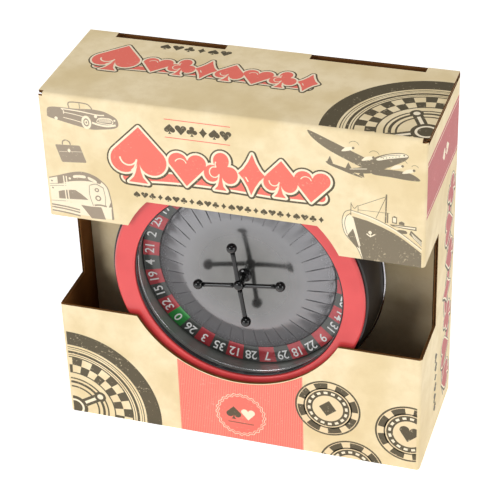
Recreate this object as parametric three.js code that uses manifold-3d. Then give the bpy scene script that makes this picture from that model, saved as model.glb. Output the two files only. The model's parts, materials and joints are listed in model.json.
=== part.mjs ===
// Travel roulette wheel in a windowed display carton.
// Millimetres, +Z up, front of the carton towards -Y, origin at the middle of the carton's base.
import * as THREE from 'three';
import { mergeVertices } from 'three/addons/utils/BufferGeometryUtils.js';
import Module from 'manifold-3d';

const wasm = await Module();
wasm.setup();

// Carton
const cartonWidth = 220;
const cartonDepth = 84;
const cartonHeight = 222;
const board = 1.8;                 // corrugated board thickness
const gap = 0.3;                   // space between pieces that lie on each other
const windowBottom = 79.7;         // top edge of the tray front
const windowTop = 142.6;           // lower edge of the header
const windowDepth = 36;            // how far the window wraps round onto each side
const cutoutDrop = 3.7;            // cut-out's centre above the wheel's axis
const cutoutCover = 6;             // how far the boards cover the wheel's flange
const chordRise = 48;              // straight top of the cut-out above its centre

// Lid and flaps
const lidClearance = 1.6;          // between the lid's back edge and the back panel
const tuckHeight = 14;
const lockNotchInner = 25;         // lock notches in the lid's back edge, from the middle
const lockNotchInset = 18;         // from each side of the carton
const lockNotchDepth = 6;
const lockSlitHeight = 6;          // how far each notch runs down into the tuck
const tuckInset = 8;               // tuck stops short of the carton's sides
const earHole = 3;                 // square hole at each front corner of the lid
const dustLength = 50;
const dustFront = 6;               // from the carton's front face
const dustBack = 12;               // from the carton's back face
const dustTaper = 24;              // how much the flap's front edge slants back

// Platform that the wheel stands on
const platformRightPlay = 5.5;     // from the carton's right face
const platformTopPlay = 5;         // from the carton's top
const platformHoleClearance = 0.6;

// Wheel; depths run from the flange's front face into the carton
const wheelOffset = 1;             // wheel axis to the carton's middle plane
const wheelHeight = 108.3;         // wheel axis above the base
const wheelPlay = 1.5;             // between the front board and the flange
const rotorRadius = 63.6;
const trackClearance = 1;          // rotor to the track round it
const trackWall = 1.6;
const throatStep = 2.1;            // flange opening is this much inside the track
const flangeWidth = 12.5;
const flangeThickness = 2.3;
const flangeChamfer = 0.9;
const lipSetback = 1.1;
const lipWidth = 0.7;
const lipHeight = 2.6;
const shellStep = 1.3;             // drum stands this much outside the flange
const shellFlare = 3;              // belt against the drum's top
const shellWall = 2.2;
const beltDepth = 25;
const beltHeight = 3.8;
const bandWidth = 1.1;
const bandChamfer = 0.4;
const seatDepth = 47.4;            // face of the drum that lies on the platform
const seatTaper = 11.3;            // belt to the outside of the seat
const seatWidth = 9.1;
const footHeight = 5.8;            // how far the foot passes behind the platform's face
const footWall = 2;
const plateLedge = 3;              // width of the ledge under the base plate

// Rotor
const numberDepth = 18.2;          // rotor's face where it meets the number ring
const numberDip = 0.4;             // ring's inner edge behind that face
const numberRise = 1.2;            // ring's outer edge in front of that face
const numberThickness = 0.9;       // that face to the ring's flat back
const numberWidth = 9.6;
const pocketCount = 37;
const zeroAngle = 222.2;           // degrees, middle of the zero pocket, anticlockwise from +X
const fretLength = 12.7;
const fretWidth = 0.5;
const fretHeight = 0.7;
const pocketWidth = 3.7;           // frets to the number ring
const pocketDrop = 1.2;            // number ring behind the fret's outer end
const crownInset = 6.6;            // crown inside the frets
const crownRise = 1;               // crown in front of the rotor's centre
const crownSlope = 0.6;            // crown to the frets' inner end
const rotorCentre = 14;            // rotor's face on its axis
const rotorRim = 2.4;
const rotorWeb = 2.2;
const hubRadius = 9;
const hubEnd = 28.2;

// Bearing
const spindleRadius = 3;
const runningClearance = 0.05;
const bushRadius = 5;
const floorDepth = 32.2;
const floorThickness = 2.5;
const bossRadius = 7;
const bossRise = 2.3;
const bossTail = 6;
const spindleHeadRadius = 5;
const spindleHeadHeight = 1.7;
const spindleChamfer = 0.5;
const washerThickness = 1.1;

// Turret
const turretDepth = 2.9;           // plane of the cross
const turretTurn = 7.8;            // degrees, cross against the vertical
const turretReach = 25;            // axis to knob centre
const knobRadius = 3;
const armRadius = 1.4;
const turretHubRadius = 3.3;
const turretHubHalf = 2.4;
const turretHubChamfer = 1.2;
const stemRadius = 2.2;
const stemFootRadius = 4.2;
const stemFootHeight = 0.8;
const stemFlare = 1.4;

// Base plate and screws
const plateThickness = 1.8;
const screwInset = 11.6;            // screws to the base plate's edge
const screwCount = 3;
const screwRadius = 1.6;
const screwHoleClearance = 0.3;
const screwHeadRadius = 3.2;
const screwHeadHeight = 1.3;
const screwLength = 9;
const postRadius = 4;

// Ball and its cup, stored behind the platform
const ballRadius = 4;
const ballPlace = 72;              // to the right of the carton's middle
const cupClearance = 1.4;
const cupWall = 1.6;
const cupHeight = 16;
const cupFloor = 1.5;

const frontY = -cartonDepth / 2;
const backY = cartonDepth / 2;
const sideX = cartonWidth / 2;
const lidUnderside = cartonHeight - board;
const dustTopZ = lidUnderside - gap;
const sideTop = dustTopZ - board - gap;
const backTop = lidUnderside - gap; // raw top edge, out of sight below the lid's face

const trackRadius = rotorRadius + trackClearance;
const throatRadius = trackRadius - throatStep;
const flangeRadius = throatRadius + flangeWidth;
const shellTopRadius = flangeRadius + shellStep;
const shellBeltRadius = shellTopRadius + shellFlare;
const seatRadius = shellBeltRadius - seatTaper;
const footRadius = seatRadius - seatWidth;
const wheelFront = board + wheelPlay;
const platformSetback = wheelFront + seatDepth + gap;
const cutoutRadius = flangeRadius - cutoutCover;
const cutoutHeight = wheelHeight + cutoutDrop;
const lockNotchOuter = sideX - lockNotchInset;

const colours = {
  print: { color: 0xe9d2a0, roughness: 0.75, metalness: 0 },
  kraft: { color: 0x7a5f3c, roughness: 0.9, metalness: 0 },
  black: { color: 0x0b0b0c, roughness: 0.22, metalness: 0 },
  red: { color: 0xd9414a, roughness: 0.35, metalness: 0 },
  bright: { color: 0xc9ccd0, roughness: 0.12, metalness: 1 },
  satin: { color: 0x8d8c90, roughness: 0.3, metalness: 0.9 },
  number: { color: 0x8e1b24, roughness: 0.4, metalness: 0 },
  brass: { color: 0xb08a4a, roughness: 0.35, metalness: 1 },
  steel: { color: 0xa8abb0, roughness: 0.3, metalness: 1 },
  ivory: { color: 0xf1efe8, roughness: 0.25, metalness: 0 },
};

const carton = new THREE.Group();
const wheel = new THREE.Group();
wheel.position.set(wheelOffset, frontY + wheelFront, wheelHeight);
carton.add(wheel);

function add(parent, name, geometry, colour) {
  const mesh = new THREE.Mesh(geometry, new THREE.MeshStandardMaterial(colours[colour]));
  mesh.name = name;
  parent.add(mesh);
  return mesh;
}

// Joins and cuts

function toSolid(geometry) {
  const bare = geometry.clone();
  bare.deleteAttribute('normal');
  bare.deleteAttribute('uv');
  const merged = mergeVertices(bare, 1e-4);
  const vertProperties = new Float32Array(merged.attributes.position.array);
  const triVerts = new Uint32Array(merged.index.array);
  return new wasm.Manifold(new wasm.Mesh({ numProp: 3, vertProperties, triVerts }));
}

function toGeometry(solid) {
  const mesh = solid.getMesh();
  const geometry = new THREE.BufferGeometry();
  geometry.setAttribute('position', new THREE.BufferAttribute(mesh.vertProperties, 3));
  geometry.setIndex(new THREE.BufferAttribute(mesh.triVerts, 1));
  return geometry;
}

// Basic forms

function outline(points) {
  return new THREE.Shape(points.map(([x, y]) => new THREE.Vector2(x, y)));
}

// Upright panel across the carton: shape in X and Z, from y = near to near + board.
function frontBoard(shape, near) {
  const geometry = new THREE.ExtrudeGeometry(shape, { depth: board, bevelEnabled: false, curveSegments: 48 });
  geometry.rotateX(Math.PI / 2);
  return geometry.translate(0, near + board, 0);
}

// Upright panel along the carton: shape in Y and Z, from x = near to near + board.
function sideBoard(shape, near) {
  const geometry = new THREE.ExtrudeGeometry(shape, { depth: board, bevelEnabled: false });
  const turn = new THREE.Matrix4().makeBasis(
    new THREE.Vector3(0, 1, 0),
    new THREE.Vector3(0, 0, 1),
    new THREE.Vector3(1, 0, 0),
  );
  return geometry.applyMatrix4(turn).translate(near, 0, 0);
}

// Level panel: shape in X and Y, from z = near to near + board.
function levelBoard(shape, near) {
  const geometry = new THREE.ExtrudeGeometry(shape, { depth: board, bevelEnabled: false });
  return geometry.translate(0, 0, near);
}

function rectangle(x0, y0, x1, y1) {
  return outline([[x0, y0], [x1, y0], [x1, y1], [x0, y1]]);
}

// Turned piece about the wheel's axis; the profile is radius and depth behind the flange's face.
function turned(profile, segments) {
  const loop = profile.map(([radius, depth]) => new THREE.Vector2(radius, depth));
  if (THREE.ShapeUtils.area(loop) < 0) {
    loop.reverse();
  }
  if (loop[0].x > 0) {
    loop.push(loop[0].clone());
  }
  return new THREE.LatheGeometry(loop, segments);
}

// Carton

function halfCutout(level) {
  return Math.sqrt(cutoutRadius ** 2 - (level - cutoutHeight) ** 2);
}

function cartonHeader() {
  const top = lidUnderside - gap;
  const shape = new THREE.Shape();
  const lowAngle = Math.atan2(windowTop - cutoutHeight, halfCutout(windowTop));
  const chordAngle = Math.atan2(chordRise, halfCutout(cutoutHeight + chordRise));
  shape.moveTo(-sideX, top);
  shape.lineTo(-sideX, windowTop);
  shape.lineTo(-halfCutout(windowTop), windowTop);
  shape.absarc(0, cutoutHeight, cutoutRadius, Math.PI - lowAngle, Math.PI - chordAngle, true);
  shape.absarc(0, cutoutHeight, cutoutRadius, chordAngle, lowAngle, true);
  shape.lineTo(sideX, windowTop);
  shape.lineTo(sideX, top);
  return frontBoard(shape, frontY);
}

function cartonTray() {
  const shape = new THREE.Shape();
  const edgeAngle = Math.atan2(windowBottom - cutoutHeight, halfCutout(windowBottom));
  shape.moveTo(-sideX, 0);
  shape.lineTo(sideX, 0);
  shape.lineTo(sideX, windowBottom);
  shape.lineTo(halfCutout(windowBottom), windowBottom);
  shape.absarc(0, cutoutHeight, cutoutRadius, edgeAngle, -Math.PI - edgeAngle, true);
  shape.lineTo(-sideX, windowBottom);
  return frontBoard(shape, frontY);
}

function cartonSide(near) {
  const front = frontY + board + gap;
  const back = backY - board - gap;
  const windowEnd = frontY + windowDepth;
  const shape = outline([
    [front, 0],
    [back, 0],
    [back, sideTop],
    [front, sideTop],
    [front, windowTop],
    [windowEnd, windowTop],
    [windowEnd, windowBottom],
    [front, windowBottom],
  ]);
  return sideBoard(shape, near);
}

function cartonBack() {
  return frontBoard(rectangle(-sideX, 0, sideX, backTop), backY - board);
}

function cartonBottom() {
  const inset = board + gap;
  return levelBoard(rectangle(-sideX + inset, frontY + inset, sideX - inset, backY - inset), 0);
}

const lidBack = backY - board - lidClearance;

function lidPanel() {
  const notch = lidBack - lockNotchDepth;
  const shape = outline([
    [-sideX + earHole, frontY],
    [sideX - earHole, frontY],
    [sideX - earHole, frontY + earHole],
    [sideX, frontY + earHole],
    [sideX, lidBack],
    [lockNotchOuter, lidBack],
    [lockNotchOuter, notch],
    [lockNotchInner, notch],
    [lockNotchInner, lidBack],
    [-lockNotchInner, lidBack],
    [-lockNotchInner, notch],
    [-lockNotchOuter, notch],
    [-lockNotchOuter, lidBack],
    [-sideX, lidBack],
    [-sideX, frontY + earHole],
    [-sideX + earHole, frontY + earHole],
  ]);
  return levelBoard(shape, lidUnderside);
}

function lidTuck() {
  const top = lidUnderside - gap;
  const low = top - tuckHeight;
  const slit = top - lockSlitHeight;
  const end = sideX - tuckInset;
  const shape = outline([
    [-end, low],
    [end, low],
    [end, top],
    [lockNotchOuter, top],
    [lockNotchOuter, slit],
    [lockNotchInner, slit],
    [lockNotchInner, top],
    [-lockNotchInner, top],
    [-lockNotchInner, slit],
    [-lockNotchOuter, slit],
    [-lockNotchOuter, top],
    [-end, top],
  ]);
  return frontBoard(shape, lidBack - board);
}

// side is -1 for the left flap and 1 for the right one
function dustFlap(side) {
  const root = side * sideX;
  const tip = side * (sideX - dustLength);
  const points = [
    [root, frontY + dustFront],
    [tip, frontY + dustFront + dustTaper],
    [tip, backY - dustBack],
    [root, backY - dustBack],
  ];
  if (side > 0) {
    points.reverse();
  }
  return levelBoard(outline(points), dustTopZ - board);
}

const platformY = frontY + platformSetback;
const platformHole = footRadius + platformHoleClearance;
const platformLeft = sideX - board - gap;
const platformRight = sideX - platformRightPlay;
const platformFoot = board + gap;
const platformTop = cartonHeight - platformTopPlay;

function platformFace() {
  const shape = rectangle(-platformLeft, platformFoot, platformRight, platformTop);
  const hole = new THREE.Path();
  hole.absarc(wheelOffset, wheelHeight, platformHole, 0, 2 * Math.PI, true);
  shape.holes.push(hole);
  return frontBoard(shape, platformY);
}

function platformFold(near) {
  const front = platformY + board + gap;
  const back = backY - board - gap;
  return sideBoard(rectangle(front, platformFoot, back, platformTop), near);
}

add(carton, 'carton_header', cartonHeader(), 'print');
add(carton, 'carton_tray_front', cartonTray(), 'print');
add(carton, 'carton_left_side', cartonSide(-sideX), 'print');
add(carton, 'carton_right_side', cartonSide(sideX - board), 'print');
add(carton, 'carton_back', cartonBack(), 'print');
add(carton, 'carton_bottom', cartonBottom(), 'kraft');
add(carton, 'lid', lidPanel(), 'print');
add(carton, 'lid_tuck', lidTuck(), 'kraft');
add(carton, 'left_dust_flap', dustFlap(-1), 'kraft');
add(carton, 'right_dust_flap', dustFlap(1), 'kraft');
add(carton, 'platform', platformFace(), 'print');
add(carton, 'platform_left_fold', platformFold(-platformLeft), 'kraft');
add(carton, 'platform_right_fold', platformFold(platformRight - board), 'kraft');

// Wheel housing

const shellTop = flangeThickness + gap;
const floorBack = floorDepth + floorThickness;
const footEnd = seatDepth + gap + footHeight;
const shellThroat = trackRadius + trackWall + gap;
const lipRadius = throatRadius - gap;
const lipEnd = lipSetback + lipHeight;
const plateRadius = footRadius - footWall - gap;
const plateDepth = footEnd - screwHeadHeight - 2 * gap - plateThickness;
const ledgeDepth = plateDepth - gap;
const screwCircle = plateRadius - screwInset;

function flangeRing() {
  return turned([
    [throatRadius, 0],
    [flangeRadius - flangeChamfer, 0],
    [flangeRadius, flangeChamfer],
    [flangeRadius, flangeThickness],
    [throatRadius, flangeThickness],
  ], 60);
}

function lipRing() {
  return turned([
    [lipRadius - lipWidth, lipSetback],
    [lipRadius, lipSetback],
    [lipRadius, lipEnd],
    [lipRadius - lipWidth, lipEnd],
  ], 60);
}

function trackRing() {
  const outer = trackRadius + trackWall;
  return turned([
    [lipRadius, lipEnd + gap],
    [outer, lipEnd + gap],
    [outer, floorDepth - gap],
    [trackRadius, floorDepth - gap],
    [trackRadius, numberDepth],
  ], 60);
}

// Double-walled drum: outer wall, land under the flange, inner wall with a lip that holds the floor,
// and a foot that passes through the platform.
function outerShell() {
  const beltEnd = beltDepth + beltHeight;
  const innerWall = shellThroat + shellWall;
  const holdRadius = shellThroat - shellWall;
  const holdDepth = floorBack + gap;
  const footInside = footRadius - footWall;
  return turned([
    [shellThroat, shellTop],
    [shellTopRadius, shellTop],
    [shellBeltRadius, beltDepth],
    [shellBeltRadius, beltEnd],
    [seatRadius, seatDepth],
    [footRadius, seatDepth],
    [footRadius, footEnd],
    [footInside, footEnd],
    [footInside, ledgeDepth],
    [footInside - plateLedge, ledgeDepth],
    [footInside - plateLedge, seatDepth - shellWall],
    [seatRadius - shellWall, seatDepth - shellWall],
    [shellBeltRadius - shellWall, beltEnd - shellWall],
    [shellTopRadius - shellWall, shellTop + shellWall],
    [innerWall, shellTop + shellWall],
    [innerWall, holdDepth + shellWall],
    [holdRadius, holdDepth + shellWall],
    [holdRadius, holdDepth],
    [shellThroat, holdDepth],
  ], 60);
}

function brightBand() {
  const inner = shellBeltRadius + gap;
  const outer = inner + bandWidth;
  const front = beltDepth + gap;
  const back = beltDepth + beltHeight - gap;
  return turned([
    [inner, front],
    [outer - bandChamfer, front],
    [outer, front + bandChamfer],
    [outer, back - bandChamfer],
    [outer - bandChamfer, back],
    [inner, back],
  ], 60);
}

// A cylinder about the wheel's axis direction, between two depths, at a place on the screw circle.
function postGeometry(radius, near, far, index, segments) {
  const angle = Math.PI / 2 + (2 * Math.PI * index) / screwCount;
  const geometry = new THREE.CylinderGeometry(radius, radius, far - near, segments);
  return geometry.translate(screwCircle * Math.cos(angle), (near + far) / 2, screwCircle * Math.sin(angle));
}

// Floor with the spindle's boss and three posts for the base screws.
function bowlFloor() {
  const bore = spindleRadius + gap;
  let solid = toSolid(turned([
    [bore, floorDepth - bossRise],
    [bossRadius, floorDepth - bossRise],
    [bossRadius, floorDepth],
    [trackRadius + trackWall, floorDepth],
    [trackRadius + trackWall, floorBack],
    [bossRadius, floorBack],
    [bossRadius, floorBack + bossTail],
    [bore, floorBack + bossTail],
  ], 60));
  for (let i = 0; i < screwCount; i += 1) {
    const post = toSolid(postGeometry(postRadius, floorBack - 1, ledgeDepth, i, 16));
    const deep = ledgeDepth - screwLength;
    const hole = toSolid(postGeometry(screwRadius + screwHoleClearance, deep, ledgeDepth + 1, i, 12));
    solid = solid.add(post).subtract(hole);
  }
  return toGeometry(solid);
}

function basePlate() {
  const far = plateDepth + plateThickness;
  let solid = toSolid(turned([[0, plateDepth], [plateRadius, plateDepth], [plateRadius, far], [0, far]], 60));
  for (let i = 0; i < screwCount; i += 1) {
    const hole = postGeometry(screwRadius + screwHoleClearance, plateDepth - 1, far + 1, i, 12);
    solid = solid.subtract(toSolid(hole));
  }
  return toGeometry(solid);
}

function baseScrew(index) {
  const seatPlane = plateDepth + plateThickness + gap;
  const shank = toSolid(postGeometry(screwRadius, seatPlane - screwLength, seatPlane + 0.5, index, 12));
  const head = toSolid(postGeometry(screwHeadRadius, seatPlane, seatPlane + screwHeadHeight, index, 16));
  return toGeometry(shank.add(head));
}

add(wheel, 'flange_ring', flangeRing(), 'red');
add(wheel, 'lip_ring', lipRing(), 'bright');
add(wheel, 'track_ring', trackRing(), 'black');
add(wheel, 'outer_shell', outerShell(), 'black');
add(wheel, 'bright_band', brightBand(), 'bright');
add(wheel, 'bowl_floor', bowlFloor(), 'black');
add(wheel, 'base_plate', basePlate(), 'black');
for (let i = 0; i < screwCount; i += 1) {
  add(wheel, `base_screw_${i + 1}`, baseScrew(i), 'steel');
}

// Bearing

const hubPocket = rotorCentre + rotorWeb;
const spindleTop = hubPocket + 2 * gap;

function spindle() {
  const bottom = floorBack + bossTail + gap;
  return turned([
    [0, spindleTop],
    [spindleRadius - spindleChamfer, spindleTop],
    [spindleRadius, spindleTop + spindleChamfer],
    [spindleRadius, bottom],
    [spindleHeadRadius, bottom],
    [spindleHeadRadius, bottom + spindleHeadHeight],
    [0, bottom + spindleHeadHeight],
  ], 32);
}

function bearingBush() {
  const inner = spindleRadius + runningClearance;
  return turned([
    [inner, hubPocket + gap],
    [bushRadius, hubPocket + gap],
    [bushRadius, hubEnd - gap],
    [inner, hubEnd - gap],
  ], 32);
}

function thrustWasher() {
  const inner = spindleRadius + gap;
  const front = floorDepth - bossRise - gap - washerThickness;
  return turned([
    [inner, front],
    [bossRadius, front],
    [bossRadius, front + washerThickness],
    [inner, front + washerThickness],
  ], 32);
}

add(wheel, 'spindle', spindle(), 'steel');
add(wheel, 'thrust_washer', thrustWasher(), 'steel');
add(wheel, 'bearing_bush', bearingBush(), 'brass');

// Rotor

const numberInner = rotorRadius - numberWidth;
const fretOuter = numberInner - pocketWidth;
const fretInner = fretOuter - fretLength;
const crownRadius = fretInner - crownInset;
const crownDepth = rotorCentre - crownRise;
const fretStart = crownDepth + crownSlope;
const fretEnd = numberDepth - pocketDrop;

function rotor() {
  const step = numberDepth + numberThickness + gap;
  const back = step + rotorRim;
  let solid = toSolid(turned([
    [0, rotorCentre],
    [crownRadius / 2, rotorCentre - crownRise / 3],
    [crownRadius, crownDepth],
    [fretInner, fretStart],
    [fretOuter, fretEnd],
    [numberInner - gap, numberDepth],
    [numberInner - gap, step],
    [rotorRadius, step],
    [rotorRadius, back],
    [fretOuter, back],
    [crownRadius, hubPocket],
    [hubRadius, hubPocket + gap],
    [hubRadius, hubEnd],
    [bushRadius + gap, hubEnd],
    [bushRadius + gap, hubPocket],
    [0, hubPocket],
  ], 60));
  const fin = outline([
    [fretInner, fretStart - fretHeight],
    [fretOuter, fretEnd - fretHeight],
    [fretOuter, fretEnd + fretHeight],
    [fretInner, fretStart + fretHeight],
  ]);
  const blade = new THREE.ExtrudeGeometry(fin, { depth: fretWidth, bevelEnabled: false });
  blade.translate(0, 0, -fretWidth / 2);
  const pocketAngle = (2 * Math.PI) / pocketCount;
  const zero = THREE.MathUtils.degToRad(zeroAngle);
  for (let i = 0; i < pocketCount; i += 1) {
    solid = solid.add(toSolid(blade.clone().rotateY((i + 0.5) * pocketAngle - zero)));
  }
  return toGeometry(solid);
}

function numberRing() {
  return turned([
    [numberInner, numberDepth + numberDip],
    [rotorRadius, numberDepth - numberRise],
    [rotorRadius, numberDepth + numberThickness],
    [numberInner, numberDepth + numberThickness],
  ], 74);
}

add(wheel, 'rotor', rotor(), 'satin');
add(wheel, 'number_ring', numberRing(), 'number');

// Turret

function turretStem() {
  const foot = rotorCentre - gap;
  const top = turretDepth + turretHubHalf + gap;
  return turned([
    [0, foot],
    [stemFootRadius, foot],
    [stemFootRadius, foot - stemFootHeight],
    [stemRadius, foot - stemFootHeight - stemFlare],
    [stemRadius, top],
    [0, top],
  ], 24);
}

function turretHub() {
  const front = turretDepth - turretHubHalf;
  const back = turretDepth + turretHubHalf;
  return turned([
    [0, front],
    [turretHubRadius - turretHubChamfer, front],
    [turretHubRadius, front + turretHubChamfer],
    [turretHubRadius, back - turretHubChamfer],
    [turretHubRadius - turretHubChamfer, back],
    [0, back],
  ], 24);
}

function turretArm() {
  const start = turretHubRadius + gap;
  const end = turretReach - knobRadius - gap;
  const geometry = new THREE.CylinderGeometry(armRadius, armRadius, end - start, 12);
  return geometry.rotateX(Math.PI / 2).translate(0, 0, (start + end) / 2);
}

add(wheel, 'turret_stem', turretStem(), 'black');
add(wheel, 'turret_hub', turretHub(), 'black');
for (let i = 0; i < 4; i += 1) {
  const arm = new THREE.Group();
  arm.position.y = turretDepth;
  arm.rotation.y = THREE.MathUtils.degToRad(90 * i - turretTurn);
  wheel.add(arm);
  add(arm, `turret_arm_${i + 1}`, turretArm(), 'black');
  const knob = add(arm, `turret_knob_${i + 1}`, new THREE.SphereGeometry(knobRadius, 16, 10), 'black');
  knob.position.z = turretReach;
}

// Ball and cup

const cupBase = board + gap;
const cupY = (platformY + board + backY - board) / 2;

function ballCup() {
  const inner = ballRadius + cupClearance;
  const outer = inner + cupWall;
  const geometry = turned([
    [0, 0],
    [outer, 0],
    [outer, cupHeight],
    [inner, cupHeight],
    [inner, cupFloor],
    [0, cupFloor],
  ], 32);
  return geometry.rotateX(Math.PI / 2);
}

const cup = add(carton, 'ball_cup', ballCup(), 'black');
cup.position.set(ballPlace, cupY, cupBase);
const ball = add(carton, 'ball', new THREE.SphereGeometry(ballRadius, 20, 14), 'ivory');
ball.position.set(ballPlace, cupY, cupBase + cupFloor + gap + ballRadius);

export default carton;
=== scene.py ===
"""A travel roulette wheel in its windowed display carton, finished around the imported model."""
import json
import math

import bmesh
import bpy
from mathutils import Matrix, Vector
from mathutils.geometry import delaunay_2d_cdt, tessellate_polygon


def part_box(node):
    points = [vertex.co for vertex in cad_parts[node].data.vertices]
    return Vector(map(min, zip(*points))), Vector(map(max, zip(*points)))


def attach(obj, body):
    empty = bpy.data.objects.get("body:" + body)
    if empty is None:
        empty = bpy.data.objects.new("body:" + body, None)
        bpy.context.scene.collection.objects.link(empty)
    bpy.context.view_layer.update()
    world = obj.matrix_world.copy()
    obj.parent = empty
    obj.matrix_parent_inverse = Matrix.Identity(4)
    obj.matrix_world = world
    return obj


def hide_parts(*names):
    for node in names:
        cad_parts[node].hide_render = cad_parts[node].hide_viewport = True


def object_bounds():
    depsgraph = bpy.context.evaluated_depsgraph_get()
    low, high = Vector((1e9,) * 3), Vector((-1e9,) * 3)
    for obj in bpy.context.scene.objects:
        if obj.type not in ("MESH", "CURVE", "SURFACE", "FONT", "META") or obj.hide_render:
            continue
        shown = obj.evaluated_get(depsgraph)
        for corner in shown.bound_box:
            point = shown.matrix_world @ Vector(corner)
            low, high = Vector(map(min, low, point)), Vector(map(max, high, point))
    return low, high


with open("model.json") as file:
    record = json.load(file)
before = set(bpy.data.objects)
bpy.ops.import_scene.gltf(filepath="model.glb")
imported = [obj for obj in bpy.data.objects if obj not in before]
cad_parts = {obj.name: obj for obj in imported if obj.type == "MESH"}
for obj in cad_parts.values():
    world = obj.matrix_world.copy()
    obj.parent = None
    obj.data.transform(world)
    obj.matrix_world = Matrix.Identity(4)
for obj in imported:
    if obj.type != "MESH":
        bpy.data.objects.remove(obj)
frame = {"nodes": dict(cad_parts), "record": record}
cad_low, cad_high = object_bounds()
mm = 0.001


# Camera: a long lens a metre away, to the right of the carton's front and well above it, turned
# slightly about its line of sight.

camera_azimuth = math.radians(18.56)
camera_elevation = math.radians(33.12)
camera_roll = math.radians(-2.12)
camera_distance = 1.0328
camera_aim = Vector((-0.0030, -0.0016, 0.1102))
away = Vector((
    math.sin(camera_azimuth) * math.cos(camera_elevation),
    -math.cos(camera_azimuth) * math.cos(camera_elevation),
    math.sin(camera_elevation),
))
camera = bpy.data.objects.new("camera", bpy.data.cameras.new("camera"))
bpy.context.scene.collection.objects.link(camera)
camera.location = camera_aim + away * camera_distance
camera.rotation_mode = "QUATERNION"
camera.rotation_quaternion = (
    (-away).to_track_quat("-Z", "Y").to_matrix() @ Matrix.Rotation(camera_roll, 3, "Z")
).to_quaternion()
camera.data.sensor_width = 36
camera.data.lens = 126.66
bpy.context.scene.camera = camera


# Studio: a pale floor, a white surround, and three broad soft lights, at the front left, at the right
# and overhead.

def tint(red, green, blue):
    """Screen colour, 0 to 255, as the linear colour that a shader takes."""
    parts = [part / 255 for part in (red, green, blue)]
    return tuple(p / 12.92 if p <= 0.04045 else ((p + 0.055) / 1.055) ** 2.4 for p in parts) + (1,)


class Number:
    """A shader output used as a number: arithmetic on it adds Math nodes."""

    def __init__(self, finish, socket):
        self.finish = finish
        self.socket = socket

    def math(self, operation, *others):
        sockets = dict(enumerate((self, *others)))
        return self.finish.node("ShaderNodeMath", {"operation": operation}, sockets)

    def __add__(self, other):
        return self.math("ADD", other)

    def __sub__(self, other):
        return self.math("SUBTRACT", other)

    def __mul__(self, other):
        return self.math("MULTIPLY", other)

    def __rsub__(self, other):
        return self.finish.node("ShaderNodeMath", {"operation": "SUBTRACT"}, {0: other, 1: self})

    __radd__ = __add__
    __rmul__ = __mul__


class Finish:
    """One material: its shader with the values that are the same all over, and the nodes that vary it."""

    def __init__(self, name, fixed):
        self.material = bpy.data.materials.new(name)
        self.material.use_nodes = True
        self.tree = self.material.node_tree
        self.shader = self.tree.nodes["Principled BSDF"]
        for socket, value in fixed.items():
            self.shader.inputs[socket].default_value = value
        self.place = self.node("ShaderNodeTexCoord", output="Object")

    def node(self, kind, settings=None, sockets=None, output=0):
        made = self.tree.nodes.new(kind)
        for key, value in (settings or {}).items():
            setattr(made, key, value)
        for key, value in (sockets or {}).items():
            if isinstance(value, Number):
                self.tree.links.new(value.socket, made.inputs[key])
            else:
                made.inputs[key].default_value = value
        return Number(self, made.outputs[output])

    def noise(self, size, detail=3.0):
        """Noise from 0 to 1 whose features are about size metres across."""
        sockets = {"Vector": self.place, "Scale": 1 / size, "Detail": detail, "Roughness": 0.6}
        return self.node("ShaderNodeTexNoise", {"normalize": True}, sockets)

    def between(self, value, low, high):
        """0 where value is low and 1 where it is high, with a soft step."""
        sockets = {"Value": value, "From Min": low, "From Max": high}
        return self.node("ShaderNodeMapRange", {"interpolation_type": "SMOOTHSTEP"}, sockets)

    def mix(self, share, first, second):
        sockets = {0: share, 6: first, 7: second}
        return self.node("ShaderNodeMix", {"data_type": "RGBA"}, sockets, 2)

    def feed(self, **varying):
        """Links what varies to the shader; relief is a height in metres that becomes a bump."""
        for key, value in varying.items():
            if key == "relief":
                bump = self.node("ShaderNodeBump", None, {"Height": value, "Distance": 1.0, "Strength": 1.0})
                self.tree.links.new(bump.socket, self.shader.inputs["Normal"])
            else:
                self.tree.links.new(value.socket, self.shader.inputs[key.replace("_", " ").title()])
        return self.material


def mesh_piece(name, points, faces, materials, indices=None, smooth=False):
    """A mesh object from points and faces, with its normals made to face outwards."""
    mesh = bpy.data.meshes.new(name)
    mesh.from_pydata([tuple(p) for p in points], [], faces)
    for material in materials:
        mesh.materials.append(material)
    if indices:
        mesh.polygons.foreach_set("material_index", indices)
    shape = bmesh.new()
    shape.from_mesh(mesh)
    bmesh.ops.recalc_face_normals(shape, faces=shape.faces)
    for face in shape.faces:
        face.smooth = smooth
    shape.to_mesh(mesh)
    shape.free()
    piece = bpy.data.objects.new(name, mesh)
    bpy.context.scene.collection.objects.link(piece)
    return piece


floor_finish = Finish("studio_floor", {"Roughness": 0.6, "Emission Strength": 0.6})
floor_cloud = floor_finish.between(floor_finish.noise(0.8), 0.3, 0.7)
floor_finish.feed(
    Base_Color=floor_finish.mix(floor_cloud, tint(246, 246, 246), tint(250, 250, 250)),
    Emission_Color=floor_finish.mix(floor_cloud, tint(254, 254, 254), tint(255, 255, 255)),
)
floor_half = 6.0
floor = mesh_piece(
    "studio_floor",
    [(x, y, 0) for x, y in ((-floor_half, -floor_half), (floor_half, -floor_half),
                            (floor_half, floor_half), (-floor_half, floor_half))],
    [(0, 1, 2, 3)],
    [floor_finish.material],
)

world = bpy.data.worlds.new("studio")
bpy.context.scene.world = world
world.use_nodes = True
world.node_tree.nodes["Background"].inputs["Color"].default_value = (1, 1, 1, 1)
world.node_tree.nodes["Background"].inputs["Strength"].default_value = 0.23
bpy.context.scene.view_settings.view_transform = "Standard"


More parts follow.
